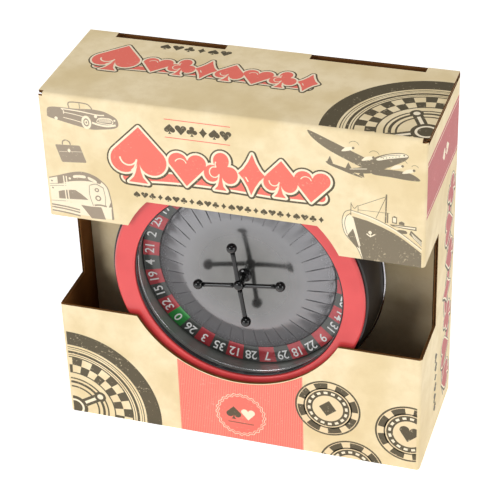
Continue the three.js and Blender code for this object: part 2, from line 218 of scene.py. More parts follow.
def softbox(name, place, aim, width, power):
    light = bpy.data.lights.new(name, "AREA")
    light.shape = "RECTANGLE"
    light.size = width
    light.size_y = width
    light.energy = power
    lamp = bpy.data.objects.new(name, light)
    bpy.context.scene.collection.objects.link(lamp)
    lamp.location = place
    lamp.rotation_mode = "QUATERNION"
    lamp.rotation_quaternion = (Vector(aim) - Vector(place)).to_track_quat("-Z", "Y")


carton_middle = (cad_low + cad_high) / 2
softbox("front_softbox", (-1.05, -1.75, 0.85), carton_middle, 0.8, 15.2)
softbox("right_softbox", (1.7, -0.6, 0.6), carton_middle, 0.7, 6.8)
softbox("top_softbox", (0.1, -0.1, 2.1), carton_middle, 1.2, 16.2)


# Carton board: single-wall corrugated, a printed liner outside, a brown liner inside, and a fluted
# sheet glued between them. The flutes run level round the carton, so they show at upright cut edges.

carton_low, carton_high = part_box("carton_tray_front")
side_x = carton_high.x / mm
front_y = carton_low.y / mm
back_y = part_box("carton_back")[1].y / mm
carton_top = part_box("lid")[1].z / mm
board = (carton_high.y - carton_low.y) / mm
print_room = 0.16          # the printed face lies this far inside the board's plane, under the ink
liner = 0.28
flute_sheet = 0.2
flute_pitch = 3.0
flute_steps = 12
fold_radius = 2.1


class Panel:
    """A flat face of the carton: across and up as seen from outside, and out of the board, in millimetres."""

    def __init__(self, origin, across, up, out):
        self.origin = Vector(origin)
        self.across = Vector(across)
        self.up = Vector(up)
        self.out = Vector(out)

    def at(self, u, v, height):
        return (self.origin + self.across * u + self.up * v + self.out * height) * mm


front_panel = Panel((0, front_y, 0), (1, 0, 0), (0, 0, 1), (0, -1, 0))
right_panel = Panel((side_x, 0, 0), (0, 1, 0), (0, 0, 1), (1, 0, 0))
left_panel = Panel((-side_x, 0, 0), (0, -1, 0), (0, 0, 1), (-1, 0, 0))
back_panel = Panel((0, back_y, 0), (-1, 0, 0), (0, 0, 1), (0, 1, 0))
lid_panel = Panel((0, 0, carton_top), (1, 0, 0), (0, 1, 0), (0, 0, 1))


def paper_cloud(finish):
    """Soft blotches, finer mottling and fibre, as on an uncoated printed liner."""
    blotch = finish.between(finish.noise(0.045, 2), 0.38, 0.66)
    mottle = finish.between(finish.noise(0.009, 4), 0.35, 0.7)
    fibre = finish.noise(0.0011, 2)
    return blotch, mottle, fibre


def washboard(finish, fibre):
    """Height of the liner over the flutes, with its fibre."""
    height = finish.node("ShaderNodeSeparateXYZ", None, {0: finish.place}, 2)
    wave = (height * (2 * math.pi / (flute_pitch * mm))).math("SINE")
    return wave * 0.000008 + fibre * 0.00002


def liner_finish(name, light, dark, stain, roughness):
    finish = Finish(name, {"Specular IOR Level": 0.3})
    blotch, mottle, fibre = paper_cloud(finish)
    base = finish.mix(blotch * 0.75, light, dark)
    base = finish.mix(mottle * 0.42, base, stain)
    base = finish.mix(finish.between(fibre, 0.55, 0.8) * 0.22, base, dark)
    return finish.feed(
        Base_Color=base,
        Roughness=fibre * 0.2 + (roughness - 0.1),
        relief=washboard(finish, fibre),
    )


printed_liner = liner_finish(
    "printed_liner", tint(250, 231, 191), tint(231, 208, 159), tint(226, 202, 152), 0.62)
kraft_liner = liner_finish("kraft_liner", tint(142, 90, 38), tint(118, 68, 24), tint(130, 82, 34), 0.85)
flute_paper = liner_finish("flute_paper", tint(120, 86, 46), tint(92, 62, 30), tint(104, 74, 40), 0.9)


def arc(centre_u, centre_v, radius, start, end, steps):
    """Points on an arc, angles in degrees, anticlockwise if end is above start."""
    angles = [math.radians(start + (end - start) * i / steps) for i in range(steps + 1)]
    return [(centre_u + radius * math.cos(a), centre_v + radius * math.sin(a)) for a in angles]


def fill(*loops):
    """Triangles that fill an outline, less the holes given after it."""
    points = [p for loop in loops for p in loop]
    corners = tessellate_polygon([[Vector((u, v, 0)) for u, v in loop] for loop in loops])
    return [[points[i] for i in corner] for corner in corners]


class Solid:
    """Points, faces and material indices of a piece under construction."""

    def __init__(self):
        self.points = []
        self.faces = []
        self.indices = []

    def add(self, points, faces, indices):
        start = len(self.points)
        self.points += points
        self.faces += [tuple(start + i for i in face) for face in faces]
        self.indices += indices

    def slab(self, panel, shapes, low, high, top_index, other_index):
        """A plate over convex shapes that share edges, from low to high out of the panel."""
        keys = {}
        flat = []
        for shape in shapes:
            face = []
            for u, v in shape:
                key = (round(u, 5), round(v, 5))
                keys.setdefault(key, len(keys))
                if not face or face[-1] != keys[key]:
                    face.append(keys[key])
            if face[0] == face[-1]:
                face.pop()
            if len(face) > 2:
                flat.append(face)
        count = len(keys)
        points = [panel.at(u, v, low) for u, v in keys] + [panel.at(u, v, high) for u, v in keys]
        used = {}
        for face in flat:
            for a, b in zip(face, face[1:] + face[:1]):
                used[frozenset((a, b))] = used.get(frozenset((a, b)), 0) + 1
        faces = [tuple(reversed(face)) for face in flat] + [tuple(i + count for i in face) for face in flat]
        indices = [other_index] * len(flat) + [top_index] * len(flat)
        for face in flat:
            for a, b in zip(face, face[1:] + face[:1]):
                if used[frozenset((a, b))] == 1:
                    faces.append((a, b, b + count, a + count))
                    indices.append(other_index)
        self.add(points, faces, indices)

    def flutes(self, panel, spans, low_v, high_v, middle, index):
        """The wavy sheet between the liners; spans(v) gives the stretches of board across at height v."""
        amplitude = (board - 2 * liner - print_room - flute_sheet) / 2
        step = flute_pitch / flute_steps
        rows = max(2, round((high_v - low_v) / step))
        before = None
        for row in range(rows + 1):
            v = low_v + (high_v - low_v) * row / rows
            wave = middle + amplitude * math.sin(2 * math.pi * v / flute_pitch)
            now = []
            for start, end in spans(min(max(v, low_v + 0.01), high_v - 0.01)):
                corners = [(start, flute_sheet / 2), (end, flute_sheet / 2),
                           (end, -flute_sheet / 2), (start, -flute_sheet / 2)]
                now.append([panel.at(u, v, wave + shift) for u, shift in corners])
            if before and len(before) == len(now):
                for old, new in zip(before, now):
                    faces = [(i, (i + 1) % 4, (i + 1) % 4 + 4, i + 4) for i in range(4)]
                    self.add(old + new, faces, [index] * 4)
            before = now

    def fold(self, path, start, end, centre, first, second, index, inner_index):
        """The board bent a quarter turn about an edge: path is the edge's direction."""
        outer = fold_radius - print_room
        inner = fold_radius - board
        steps = 8
        points = []
        for end_place in (start, end):
            for radius in (outer, inner):
                for i in range(steps + 1):
                    turn = math.pi / 2 * i / steps
                    reach = Vector(first) * math.cos(turn) + Vector(second) * math.sin(turn)
                    points.append((Vector(centre) + Vector(path) * end_place + reach * radius) * mm)
        count = steps + 1
        faces, indices = [], []
        for i in range(steps):
            a, b, c, d = i, i + count, i + 2 * count, i + 3 * count
            faces += [(a, a + 1, c + 1, c), (b, b + 1, d + 1, d), (a, a + 1, b + 1, b), (c, c + 1, d + 1, d)]
            indices += [index, inner_index, inner_index, inner_index]
        for i in (0, steps):
            faces.append((i, i + count, i + 3 * count, i + 2 * count))
            indices.append(inner_index)
        self.add(points, faces, indices)


def cut_board(solid, panel, loops, spans, low_v, high_v):
    """Both liners and the flutes of one flat board whose face is the panel's plane."""
    shapes = fill(*loops)
    solid.slab(panel, shapes, -print_room - liner, -print_room, 0, 1)
    solid.slab(panel, shapes, -board, -board + liner, 1, 1)
    solid.flutes(panel, spans, low_v, high_v, -(board + print_room) / 2, 2)


def finish_board(name, node, solid, body, materials=(printed_liner, kraft_liner, flute_paper)):
    piece = mesh_piece(name, solid.points, solid.faces, materials, solid.indices)
    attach(piece, body)
    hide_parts(node)


def even_spans(half):
    return lambda v: [(-half, half)]


# Carton front: the header above the window and the tray below it, both cut round the wheel. Their
# upright edges are rounded folds into the side walls.

cutout_radius = 69.0
cutout_height = 112.0
chord_rise = 48.0
window_bottom = carton_high.z / mm
header_low, header_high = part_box("carton_header")
window_top = header_low.z / mm
header_top = header_high.z / mm
fold_x = side_x - fold_radius
chord_top = cutout_height + chord_rise


def cutout_half(level):
    return math.sqrt(max(cutout_radius ** 2 - (level - cutout_height) ** 2, 0))


def cutout_angle(level):
    return math.degrees(math.atan2(level - cutout_height, cutout_half(level)))


def front_spans(v):
    if v >= chord_top:
        return [(-fold_x, fold_x)]
    gap = cutout_half(v)
    return [(-fold_x, -gap), (gap, fold_x)] if gap > 0.5 else [(-fold_x, fold_x)]


low_angle, chord_angle = cutout_angle(window_top), cutout_angle(chord_top)
header_outline = (
    [(-fold_x, header_top), (-fold_x, window_top)]
    + arc(0, cutout_height, cutout_radius, 180 - low_angle, 180 - chord_angle, 14)
    + arc(0, cutout_height, cutout_radius, chord_angle, low_angle, 14)
    + [(fold_x, window_top), (fold_x, header_top)]
)
tray_angle = cutout_angle(window_bottom)
tray_outline = (
    [(-fold_x, 0), (fold_x, 0), (fold_x, window_bottom)]
    + arc(0, cutout_height, cutout_radius, tray_angle, -180 - tray_angle, 60)
    + [(-fold_x, window_bottom)]
)
for name, outline, low_v, high_v in (
    ("carton_header", header_outline, window_top, header_top),
    ("carton_tray_front", tray_outline, 0, window_bottom),
):
    solid = Solid()
    cut_board(solid, front_panel, [outline], front_spans, low_v, high_v)
    for side in (-1, 1):
        centre = (side * fold_x, front_y + fold_radius, 0)
        solid.fold((0, 0, 1), low_v, high_v, centre, (0, -1, 0), (side, 0, 0), 0, 1)
    finish_board(name + "_board", name, solid, "carton")


# Side walls: single boards printed like the front, joined to it at its two folds. The window wraps
# round onto each of them.

window_depth = 36.0        # how far back the window runs along each side wall
side_low, side_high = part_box("carton_right_side")
side_front, side_back, side_top = side_low.y / mm, side_high.y / mm, side_high.z / mm
window_back = front_y + window_depth
for name, panel, sign in (("carton_right_side", right_panel, 1), ("carton_left_side", left_panel, -1)):
    def wall_spans(v, sign=sign):
        start = window_back if window_bottom < v < window_top else side_front
        return [tuple(sorted((sign * start, sign * side_back)))]

    outline = [(sign * y, z) for y, z in (
        (side_front, 0), (side_back, 0), (side_back, side_top), (side_front, side_top),
        (side_front, window_top), (window_back, window_top),
        (window_back, window_bottom), (side_front, window_bottom))]
    solid = Solid()
    cut_board(solid, panel, [outline], wall_spans, 0, side_top)
    finish_board(name + "_board", name, solid, "carton")


# Back and bottom: whole panels, the back printed and the bottom plain. The back's upright edges are
# folds like the front's.

def rectangle(left, bottom, right, top):
    return [(left, bottom), (right, bottom), (right, top), (left, top)]


back_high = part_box("carton_back")[1].z / mm
solid = Solid()
cut_board(solid, back_panel, [rectangle(-fold_x, 0, fold_x, back_high)], even_spans(fold_x), 0, back_high)
for side in (-1, 1):
    centre = (side * fold_x, back_y - fold_radius, 0)
    solid.fold((0, 0, 1), 0, back_high, centre, (0, 1, 0), (side, 0, 0), 0, 1)
finish_board("carton_back_board", "carton_back", solid, "carton")

bottom_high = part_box("carton_bottom")[1]
bottom_panel = Panel((0, 0, 0), (1, 0, 0), (0, -1, 0), (0, 0, -1))
bottom_half_x, bottom_half_y = bottom_high.x / mm, bottom_high.y / mm
solid = Solid()
bottom_shape = rectangle(-bottom_half_x, -bottom_half_y, bottom_half_x, bottom_half_y)
cut_board(solid, bottom_panel, [bottom_shape], even_spans(bottom_half_x), -bottom_half_y, bottom_half_y)
finish_board("carton_bottom_board", "carton_bottom", solid, "carton",
             (kraft_liner, kraft_liner, flute_paper))


# Lid: the top panel, hinged on its front fold, with lock notches in its back edge and a small square
# hole at each front corner. Its tuck goes down inside the back, and a dust flap folds in from each side.

lid_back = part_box("lid")[1].y / mm
notch_inner, notch_inset, notch_depth, ear_hole = 25.0, 18.0, 6.0, 3.0
notch_outer = side_x - notch_inset
lid_front = front_y + fold_radius
notch_y = lid_back - notch_depth
ear_x = side_x - ear_hole
ear_y = front_y + ear_hole
lid_outline = [
    (-ear_x, lid_front), (ear_x, lid_front), (ear_x, ear_y), (side_x, ear_y), (side_x, lid_back),
    (notch_outer, lid_back), (notch_outer, notch_y), (notch_inner, notch_y), (notch_inner, lid_back),
    (-notch_inner, lid_back), (-notch_inner, notch_y), (-notch_outer, notch_y), (-notch_outer, lid_back),
    (-side_x, lid_back), (-side_x, ear_y), (-ear_x, ear_y),
]


def lid_spans(v):
    if v < ear_y:
        return [(-ear_x, ear_x)]
    if v < notch_y:
        return [(-side_x, side_x)]
    return [(-side_x, -notch_outer), (-notch_inner, notch_inner), (notch_outer, side_x)]


solid = Solid()
cut_board(solid, lid_panel, [lid_outline], lid_spans, lid_front, lid_back)
solid.fold((1, 0, 0), -ear_x, ear_x, (0, lid_front, carton_top - fold_radius), (0, -1, 0), (0, 0, 1), 0, 1)
finish_board("lid_board", "lid", solid, "lid")

tuck_low, tuck_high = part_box("lid_tuck")
tuck_panel = Panel((0, tuck_high.y / mm, 0), (-1, 0, 0), (0, 0, 1), (0, 1, 0))
tuck_half, tuck_bottom, tuck_top = tuck_high.x / mm, tuck_low.z / mm, tuck_high.z / mm
slit_depth = 6.0
tuck_slit = tuck_top - slit_depth
tuck_outline = [
    (-tuck_half, tuck_bottom), (tuck_half, tuck_bottom), (tuck_half, tuck_top), (notch_outer, tuck_top),
    (notch_outer, tuck_slit), (notch_inner, tuck_slit), (notch_inner, tuck_top), (-notch_inner, tuck_top),
    (-notch_inner, tuck_slit), (-notch_outer, tuck_slit), (-notch_outer, tuck_top), (-tuck_half, tuck_top),
]


def tuck_spans(v):
    if v < tuck_slit:
        return [(-tuck_half, tuck_half)]
    return [(-tuck_half, -notch_outer), (-notch_inner, notch_inner), (notch_outer, tuck_half)]


solid = Solid()
cut_board(solid, tuck_panel, [tuck_outline], tuck_spans, tuck_bottom, tuck_top)
finish_board("lid_tuck_board", "lid_tuck", solid, "lid")

flap_taper = 24.0
for name, sign in (("left_dust_flap", -1), ("right_dust_flap", 1)):
    flap_low, flap_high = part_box(name)
    root, tip = sorted((flap_low.x / mm, flap_high.x / mm), key=abs, reverse=True)
    near, far = flap_low.y / mm, flap_high.y / mm
    flap_panel = Panel((0, 0, flap_high.z / mm), (1, 0, 0), (0, 1, 0), (0, 0, 1))

    def flap_spans(v, root=root, tip=tip, near=near):
        reach = root + (tip - root) * min((v - near) / flap_taper, 1)
        return [tuple(sorted((root, reach)))]

    solid = Solid()
    cut_board(solid, flap_panel, [[(root, near), (tip, near + flap_taper), (tip, far), (root, far)]],
              flap_spans, near, far)
    finish_board(name + "_board", name, solid, name)


# Platform: a printed board folded back at both ends, which stands behind the window. The wheel's
# foot passes through its round hole, and the drum's back face lies on it.

platform_low, platform_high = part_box("platform")
wheel_low, wheel_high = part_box("flange_ring")
axis_x = (wheel_low.x + wheel_high.x) / 2 / mm
axis_z = (wheel_low.z + wheel_high.z) / 2 / mm
platform_hole = 59.5
platform_panel = Panel((0, platform_low.y / mm, 0), (1, 0, 0), (0, 0, 1), (0, -1, 0))
face_left, face_right = platform_low.x / mm, platform_high.x / mm
face_bottom, face_top = platform_low.z / mm, platform_high.z / mm


def platform_spans(v):
    gap = platform_hole ** 2 - (v - axis_z) ** 2
    if gap <= 0.3:
        return [(face_left, face_right)]
    half = math.sqrt(gap)
    return [(face_left, axis_x - half), (axis_x + half, face_right)]


solid = Solid()
face_shape = rectangle(face_left, face_bottom, face_right, face_top)
cut_board(solid, platform_panel, [face_shape, arc(axis_x, axis_z, platform_hole, 0, -360, 96)[:-1]],
          platform_spans, face_bottom, face_top)
finish_board("platform_board", "platform", solid, "carton")
for name, across in (("platform_left_fold", -1), ("platform_right_fold", 1)):
    fold_low, fold_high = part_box(name)
    outer_x = (fold_high.x if across > 0 else fold_low.x) / mm
    fold_panel = Panel((outer_x, 0, 0), (0, across, 0), (0, 0, 1), (across, 0, 0))
    ends = sorted((across * fold_low.y / mm, across * fold_high.y / mm))
    solid = Solid()
    shape = rectangle(ends[0], face_bottom, ends[1], face_top)
    cut_board(solid, fold_panel, [shape], lambda v, ends=ends: [tuple(ends)], face_bottom, face_top)
    finish_board(name + "_board", name, solid, "carton")


# Wheel housing: a moulded black drum with a red flange snapped on its front and a plated band round
# its belt. Inside the flange a black lip and a grey track with a fine plated bead lead to the rotor.

wheel_front = wheel_low.y / mm
body_of = {node: body for body, nodes in frame["record"]["behaviour"]["bodies"].items() for node in nodes}


def stand_in(piece, node):
    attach(piece, body_of[node])
    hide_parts(node)


def rounded(profile, radius, closed=True):
    """A profile with its corners rounded, each within its own edges."""
    line = []
    for i, (r, d) in enumerate(profile):
        if r < 1e-6 or (not closed and i in (0, len(profile) - 1)):
            line.append((r, d))
            continue
        here = Vector((r, d))
        before, after = Vector(profile[i - 1]), Vector(profile[(i + 1) % len(profile)])
        reach = min(radius, 0.42 * (before - here).length, 0.42 * (after - here).length)
        start = here + (before - here).normalized() * reach
        end = here + (after - here).normalized() * reach
        for step in range(5):
            t = step / 4
            line.append(tuple(start * (1 - t) ** 2 + here * 2 * t * (1 - t) + end * t ** 2))
    return line


def turned_solid(profile, segments, origin=None, axis=(0, 1, 0), first=(1, 0, 0)):
    """A closed profile of radius and depth, turned about an axis that runs from the origin."""
    origin = Vector(origin or (axis_x, wheel_front, axis_z))
    axis, first = Vector(axis), Vector(first)
    second = axis.cross(first)
    rows, points = [], []
    for r, d in profile:
        if r < 1e-6:
            rows.append([len(points)] * segments)
            points.append((origin + axis * d) * mm)
            continue
        rows.append(list(range(len(points), len(points) + segments)))
        for s in range(segments):
            a = 2 * math.pi * s / segments
            points.append((origin + axis * d + first * (r * math.cos(a)) + second * (r * math.sin(a))) * mm)
    faces = []
    for i, row in enumerate(rows):
        after = rows[(i + 1) % len(rows)]
        if len(set(row)) == 1 and len(set(after)) == 1:
            continue
        for s in range(segments):
            t = (s + 1) % segments
            corners = [row[s], row[t], after[t], after[s]]
            faces.append(tuple(dict.fromkeys(corners)))
    return points, faces


def turned(name, node, slot, material, profile, segments=192, **place):
    points, faces = turned_solid(profile, segments, **place)
    piece = mesh_piece(name, points, faces, [material], smooth=True)
    piece.modifiers.new("even_normals", "WEIGHTED_NORMAL").keep_sharp = True
    stand_in(piece, node)


def moulded_finish(name, colour, deep, roughness, coat):
    """Injection-moulded plastic: faint flow clouds, orange peel, and handling scuffs that dull the gloss."""
    finish = Finish(name, {"Coat Roughness": 0.06, "Coat IOR": 1.5, "IOR": 1.5})
    cloud = finish.between(finish.noise(0.03, 2), 0.3, 0.7)
    peel = finish.noise(0.0022, 2)
    scuff = finish.between(finish.noise(0.0035, 5), 0.58, 0.78)
    return finish.feed(
        Base_Color=finish.mix(cloud, colour, deep),
        Roughness=scuff * 0.12 + cloud * 0.03 + roughness,
        Coat_Weight=scuff * -0.2 + coat,
        relief=peel * 0.000006 + scuff * 0.000003,
    )


def metal_finish(name, colour, dark, roughness, metallic=1.0):
    """Metal or plating with fine turning marks and a slight tarnish."""
    finish = Finish(name, {})
    cloud = finish.between(finish.noise(0.02, 3), 0.3, 0.75)
    grain = finish.noise(0.0006, 2)
    return finish.feed(
        Base_Color=finish.mix(cloud, colour, dark),
        Roughness=grain * 0.10 + cloud * 0.05 + (roughness - 0.06),
        Metallic=cloud * -0.05 + metallic,
        relief=grain * 0.000002,
    )


red_plastic = moulded_finish("red_plastic", tint(230, 76, 76), tint(218, 66, 67), 0.30, 0.25)
black_plastic = moulded_finish("black_plastic", tint(16, 15, 16), tint(22, 20, 20), 0.20, 0.5)
drum_plastic = moulded_finish("drum_plastic", tint(20, 17, 15), tint(30, 24, 20), 0.34, 0.15)
track_plastic = moulded_finish("track_plastic", tint(112, 115, 110), tint(122, 124, 119), 0.33, 0.15)
plated_trim = metal_finish("plated_trim", tint(214, 214, 216), tint(176, 176, 180), 0.14)

flange_out = (wheel_high.x - wheel_low.x) / 2 / mm
flange_back = (wheel_high.y - wheel_low.y) / mm
flange_in = flange_out - 12.5
turned("flange_ring_moulding", "flange_ring", "red_plastic", red_plastic, rounded([
    (flange_in, 0.05), (flange_in + 1.4, 0.0), (flange_out - 1.1, 0.0), (flange_out, 1.0),
    (flange_out, flange_back), (flange_in, flange_back)], 0.7), 240)
lip_low, lip_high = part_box("lip_ring")
lip_out = (lip_high.x - lip_low.x) / 2 / mm
lip_near, lip_far = lip_low.y / mm - wheel_front, lip_high.y / mm - wheel_front
turned("lip_ring_trim", "lip_ring", "chrome_trim", black_plastic, rounded([
    (lip_out - 0.7, lip_near), (lip_out, lip_near), (lip_out, lip_far), (lip_out - 0.7, lip_far)], 0.25), 240)

number_low, number_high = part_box("number_ring")
number_out = (number_high.x - number_low.x) / 2 / mm
number_near = number_low.y / mm - wheel_front
number_back = number_high.y / mm - wheel_front
number_rise, number_dip = 1.2, 0.4
number_face = number_near + number_rise
track_low, track_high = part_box("track_ring")
track_out = (track_high.x - track_low.x) / 2 / mm
track_near, track_far = track_low.y / mm - wheel_front, track_high.y / mm - wheel_front
track_in = number_out + 1.0
turned("track_ring_moulding", "track_ring", "black_plastic", track_plastic, rounded([
    (lip_out, track_near), (track_out, track_near), (track_out, track_far), (track_in, track_far),
    (track_in, number_face + 0.4), (track_in - 0.35, number_face - 2.2),
    (lip_out + 0.9, track_near + 5.2)], 0.8), 240)

shell_low, shell_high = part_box("outer_shell")
band_low, band_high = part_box("bright_band")
band_near, band_far = band_low.y / mm - wheel_front, band_high.y / mm - wheel_front
band_out = (band_high.x - band_low.x) / 2 / mm
shell_top, shell_end = shell_low.y / mm - wheel_front, shell_high.y / mm - wheel_front
belt_out = (shell_high.x - shell_low.x) / 2 / mm
throat = track_out + 0.3
wall = 2.2
belt_near, belt_far = band_near - 0.3, band_far + 0.3
seat = 47.4
seat_out = belt_out - 11.3
foot_out = seat_out - 9.1
ledge = shell_end - 4.0
floor_hold = 35.0
top_out = belt_out - 3.0
turned("outer_shell_moulding", "outer_shell", "black_plastic", drum_plastic, rounded([
    (throat, shell_top), (top_out, shell_top), (belt_out, belt_near), (belt_out, belt_far), (seat_out, seat),
    (foot_out, seat), (foot_out, shell_end), (foot_out - 2, shell_end), (foot_out - 2, ledge),
    (foot_out - 5, ledge), (foot_out - 5, seat - wall), (seat_out - wall, seat - wall),
    (belt_out - wall, belt_far - wall), (top_out - wall, shell_top + wall), (throat + wall, shell_top + wall),
    (throat + wall, floor_hold + wall), (throat - wall, floor_hold + wall), (throat - wall, floor_hold),
    (throat, floor_hold)], 0.6), 192)
turned("bright_band_trim", "bright_band", "chrome_trim", plated_trim, rounded([
    (band_out - 1.1, band_near), (band_out - 0.3, band_near), (band_out, band_near + 0.5),
    (band_out, band_far - 0.5), (band_out - 0.3, band_far), (band_out - 1.1, band_far)], 0.3), 240)


bead_depth, bead_radius = 7.2, 0.28
bead_circle = lip_out + 0.55
points, faces = turned_solid(
    [(bead_circle + bead_radius * math.cos(a), bead_depth + bead_radius * math.sin(a))
     for a in (2 * math.pi * s / 10 for s in range(10))], 240)
bead = mesh_piece("track_bead_trim", points, faces, [plated_trim], smooth=True)
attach(bead, body_of["track_ring"])


# Rotor: a metallised dish with 37 scooped pockets between raised frets, and the number ring on its
# rim. The numbers are printed white on red and black cells, with one green cell for the zero.

pocket_count = 37
zero_angle = math.radians(222.2)
pocket_turn = 2 * math.pi / pocket_count
number_in = number_out - 9.6
rotor_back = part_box("rotor")[1].y / mm - wheel_front
fret_out = number_in - 3.7
fret_in = fret_out - 12.7
crown = fret_in - 6.6
rotor_centre = 14.0
crown_depth = 13.0
fret_start, fret_end = crown_depth + 0.6, number_face - 1.2
rim_gap = 0.3
rotor_under = 16.2
boss_out, boss_in, boss_end = 9.0, 5.3, 28.2
wedge_steps = 8
scoop_depth, scoop_lead = 0.5, 3.0


def wheel_point(r, depth, angle):
    """A point of the wheel: its radius, its depth behind the flange's face, and its angle."""
    return Vector((axis_x + r * math.cos(angle), wheel_front + depth, axis_z + r * math.sin(angle))) * mm


def spoke_angle(spoke):
    return zero_angle + pocket_turn * (spoke / wedge_steps + 0.5)


def dish_depth(r):
    """Depth of the rotor's face at a radius, before the pockets are scooped."""
    stations = [
        (0, rotor_centre), (crown / 2, rotor_centre - 0.33), (crown, crown_depth),
        (fret_in, fret_start), (fret_out, fret_end), (number_in - rim_gap, number_face),
    ]
    for (r0, d0), (r1, d1) in zip(stations, stations[1:]):
        if r <= r1:
            return d0 + (d1 - d0) * (r - r0) / (r1 - r0)
    return number_face


satin = Finish("satin_metal", {})
satin_axis = satin.node("ShaderNodeVectorMath", {"operation": "SUBTRACT"},
                        {0: satin.place, 1: (axis_x * mm, wheel_front * mm, axis_z * mm)})
satin_far = satin.node("ShaderNodeVectorMath", {"operation": "LENGTH"}, {0: satin_axis}, 1)
turning = (satin_far * 9000).math("SINE")
satin_cloud = satin.between(satin.noise(0.025, 3), 0.3, 0.7)
satin_grain = satin.noise(0.0008, 2)
satin_pockets = satin.between(satin_far, 0.5 * crown * mm, number_in * mm)
satin_crown = satin.mix(satin_cloud, tint(126, 126, 124), tint(114, 114, 112))
satin_metal = satin.feed(
    Base_Color=satin.mix(satin_pockets, satin_crown, tint(146, 145, 148)),
    Roughness=satin_grain * 0.04 + satin_pockets * 0.14 + 0.11,
    Metallic=satin_pockets * -0.4 + 0.86,
    relief=turning * 0.0000006 + satin_grain * 0.000001,
)

dish = Solid()
spokes = pocket_count * wedge_steps
radii = [0.0, 3, 6, 10, crown / 2, 20, 25, crown - 1.5, crown, crown + 1.5, fret_in - 1.5, fret_in]
radii += [fret_in + (fret_out - fret_in) * i / 10 for i in range(1, 11)]
radii += [fret_out + 1.2, fret_out + 2.4, number_in - rim_gap]
rings = []
for r in radii:
    row = []
    for s in range(spokes):
        share = min(max((r - fret_in - scoop_lead) / (fret_out - fret_in - scoop_lead), 0), 1)
        scoop = scoop_depth * share * (1 - math.cos(2 * math.pi * s / wedge_steps)) / 2
        depth = dish_depth(r) + scoop * (1 if r < number_in - 1 else 0)
        row.append(wheel_point(r, depth, spoke_angle(s)))
        if r == 0:
            break
    rings.append(row)
under = [
    (number_in - rim_gap, number_back + rim_gap), (number_out, number_back + rim_gap),
    (number_out, rotor_back), (fret_out, rotor_back), (crown, rotor_under), (boss_out, rotor_under + 0.3),
    (boss_out, boss_end), (boss_in, boss_end), (boss_in, rotor_under), (0, rotor_under),
]
for r, depth in under:
    row = [wheel_point(r, depth, spoke_angle(s)) for s in range(spokes)]
    rings.append(row[:1] if r == 0 else row)
starts, points = [], []
for row in rings:
    starts.append(len(points))
    points += row
faces = []
for i in range(len(rings) - 1):
    for s in range(spokes):
        t = (s + 1) % spokes
        here, there = starts[i], starts[i + 1]
        a = [here, here] if len(rings[i]) == 1 else [here + s, here + t]
        b = [there, there] if len(rings[i + 1]) == 1 else [there + t, there + s]
        faces.append(tuple(dict.fromkeys(a + b)))
dish.add(points, faces, [0] * len(faces))
fret_half, fret_rise = 0.32, 0.55
for pocket in range(pocket_count):
    angle = zero_angle + pocket_turn * (pocket + 0.5)
    along = Vector((math.cos(angle), 0, math.sin(angle)))
    aside = Vector((-math.sin(angle), 0, math.cos(angle)))
    points, faces = [], []
    stations = 8
    for i in range(stations + 1):
        r = fret_in + (number_in - 0.6 - fret_in) * i / stations
        grow = min(1, 0.25 + 0.75 * math.sin(math.pi * min(i / stations * 1.3, 1 - 0.12 * (i == stations))))
        base = Vector((axis_x, wheel_front + dish_depth(r), axis_z)) + along * r
        for turn in range(5):
            a = math.pi * turn / 4
            points.append((base + aside * (fret_half * math.cos(a)) - Vector((0, 1, 0)) *
                           (fret_rise * grow * math.sin(a) - (0.5 if turn in (0, 4) else 0))) * mm)
    for i in range(stations):
        for turn in range(5):
            a, b = 5 * i + turn, 5 * i + (turn + 1) % 5
            faces.append((a, b, b + 5, a + 5))
    faces += [tuple(range(5)), tuple(range(5 * stations, 5 * stations + 5))]
    dish.add(points, faces, [0] * len(faces))
rotor_piece = mesh_piece("rotor_dish", dish.points, dish.faces, [satin_metal], smooth=True)
rotor_piece.modifiers.new("even_normals", "WEIGHTED_NORMAL").keep_sharp = True
stand_in(rotor_piece, "rotor")


def number_finish(name, colour, dark, metallic, roughness):
    """Gloss ink over the metallised ring."""
    finish = Finish(name, {"Coat Roughness": 0.08})
    cloud = finish.between(finish.noise(0.006, 3), 0.35, 0.7)
    grain = finish.noise(0.0009, 2)
    return finish.feed(
        Base_Color=finish.mix(cloud, colour, dark),
        Roughness=grain * 0.08 + roughness,
        Metallic=cloud * -0.05 + metallic,
        Coat_Weight=cloud * -0.1 + 0.7,
        relief=grain * 0.000002,
    )


cell_red = number_finish("cell_red", tint(186, 62, 68), tint(172, 54, 62), 0.3, 0.18)
cell_black = number_finish("cell_black", tint(66, 70, 67), tint(78, 81, 77), 0.35, 0.18)
cell_green = number_finish("cell_green", tint(56, 156, 72), tint(46, 142, 64), 0.3, 0.18)
figure_white = number_finish("figure_white", tint(246, 246, 244), tint(232, 232, 230), 0.05, 0.3)

numbers = [
    0, 26, 3, 35, 12, 28, 7, 29, 18, 22, 9, 31, 14, 20, 1, 33, 16, 24, 5,
    10, 23, 8, 30, 11, 36, 13, 27, 6, 34, 17, 25, 2, 21, 4, 19, 15, 32,
]
ring = Solid()
cell_steps = 6
ring_profile = rounded([(number_in, number_face + number_dip), (number_out, number_near),
                        (number_out, number_back), (number_in, number_back)], 0.12)
for pocket in range(pocket_count):
    start = zero_angle + pocket_turn * (pocket - 0.5)
    points, faces = [], []
    for s in range(cell_steps + 1):
        angle = start + pocket_turn * s / cell_steps
        points += [wheel_point(r, d, angle) for r, d in ring_profile]
    count = len(ring_profile)
    for s in range(cell_steps):
        for i in range(count):
            j = (i + 1) % count
            faces.append((s * count + i, s * count + j, (s + 1) * count + j, (s + 1) * count + i))
    index = 2 if pocket == 0 else 1 - pocket % 2
    ring.add(points, faces, [index] * len(faces))
cell_inks = [cell_black, cell_red, cell_green]
ring_mesh = mesh_piece("number_ring_cells", ring.points, ring.faces, cell_inks, ring.indices)
shape = bmesh.new()
shape.from_mesh(ring_mesh.data)
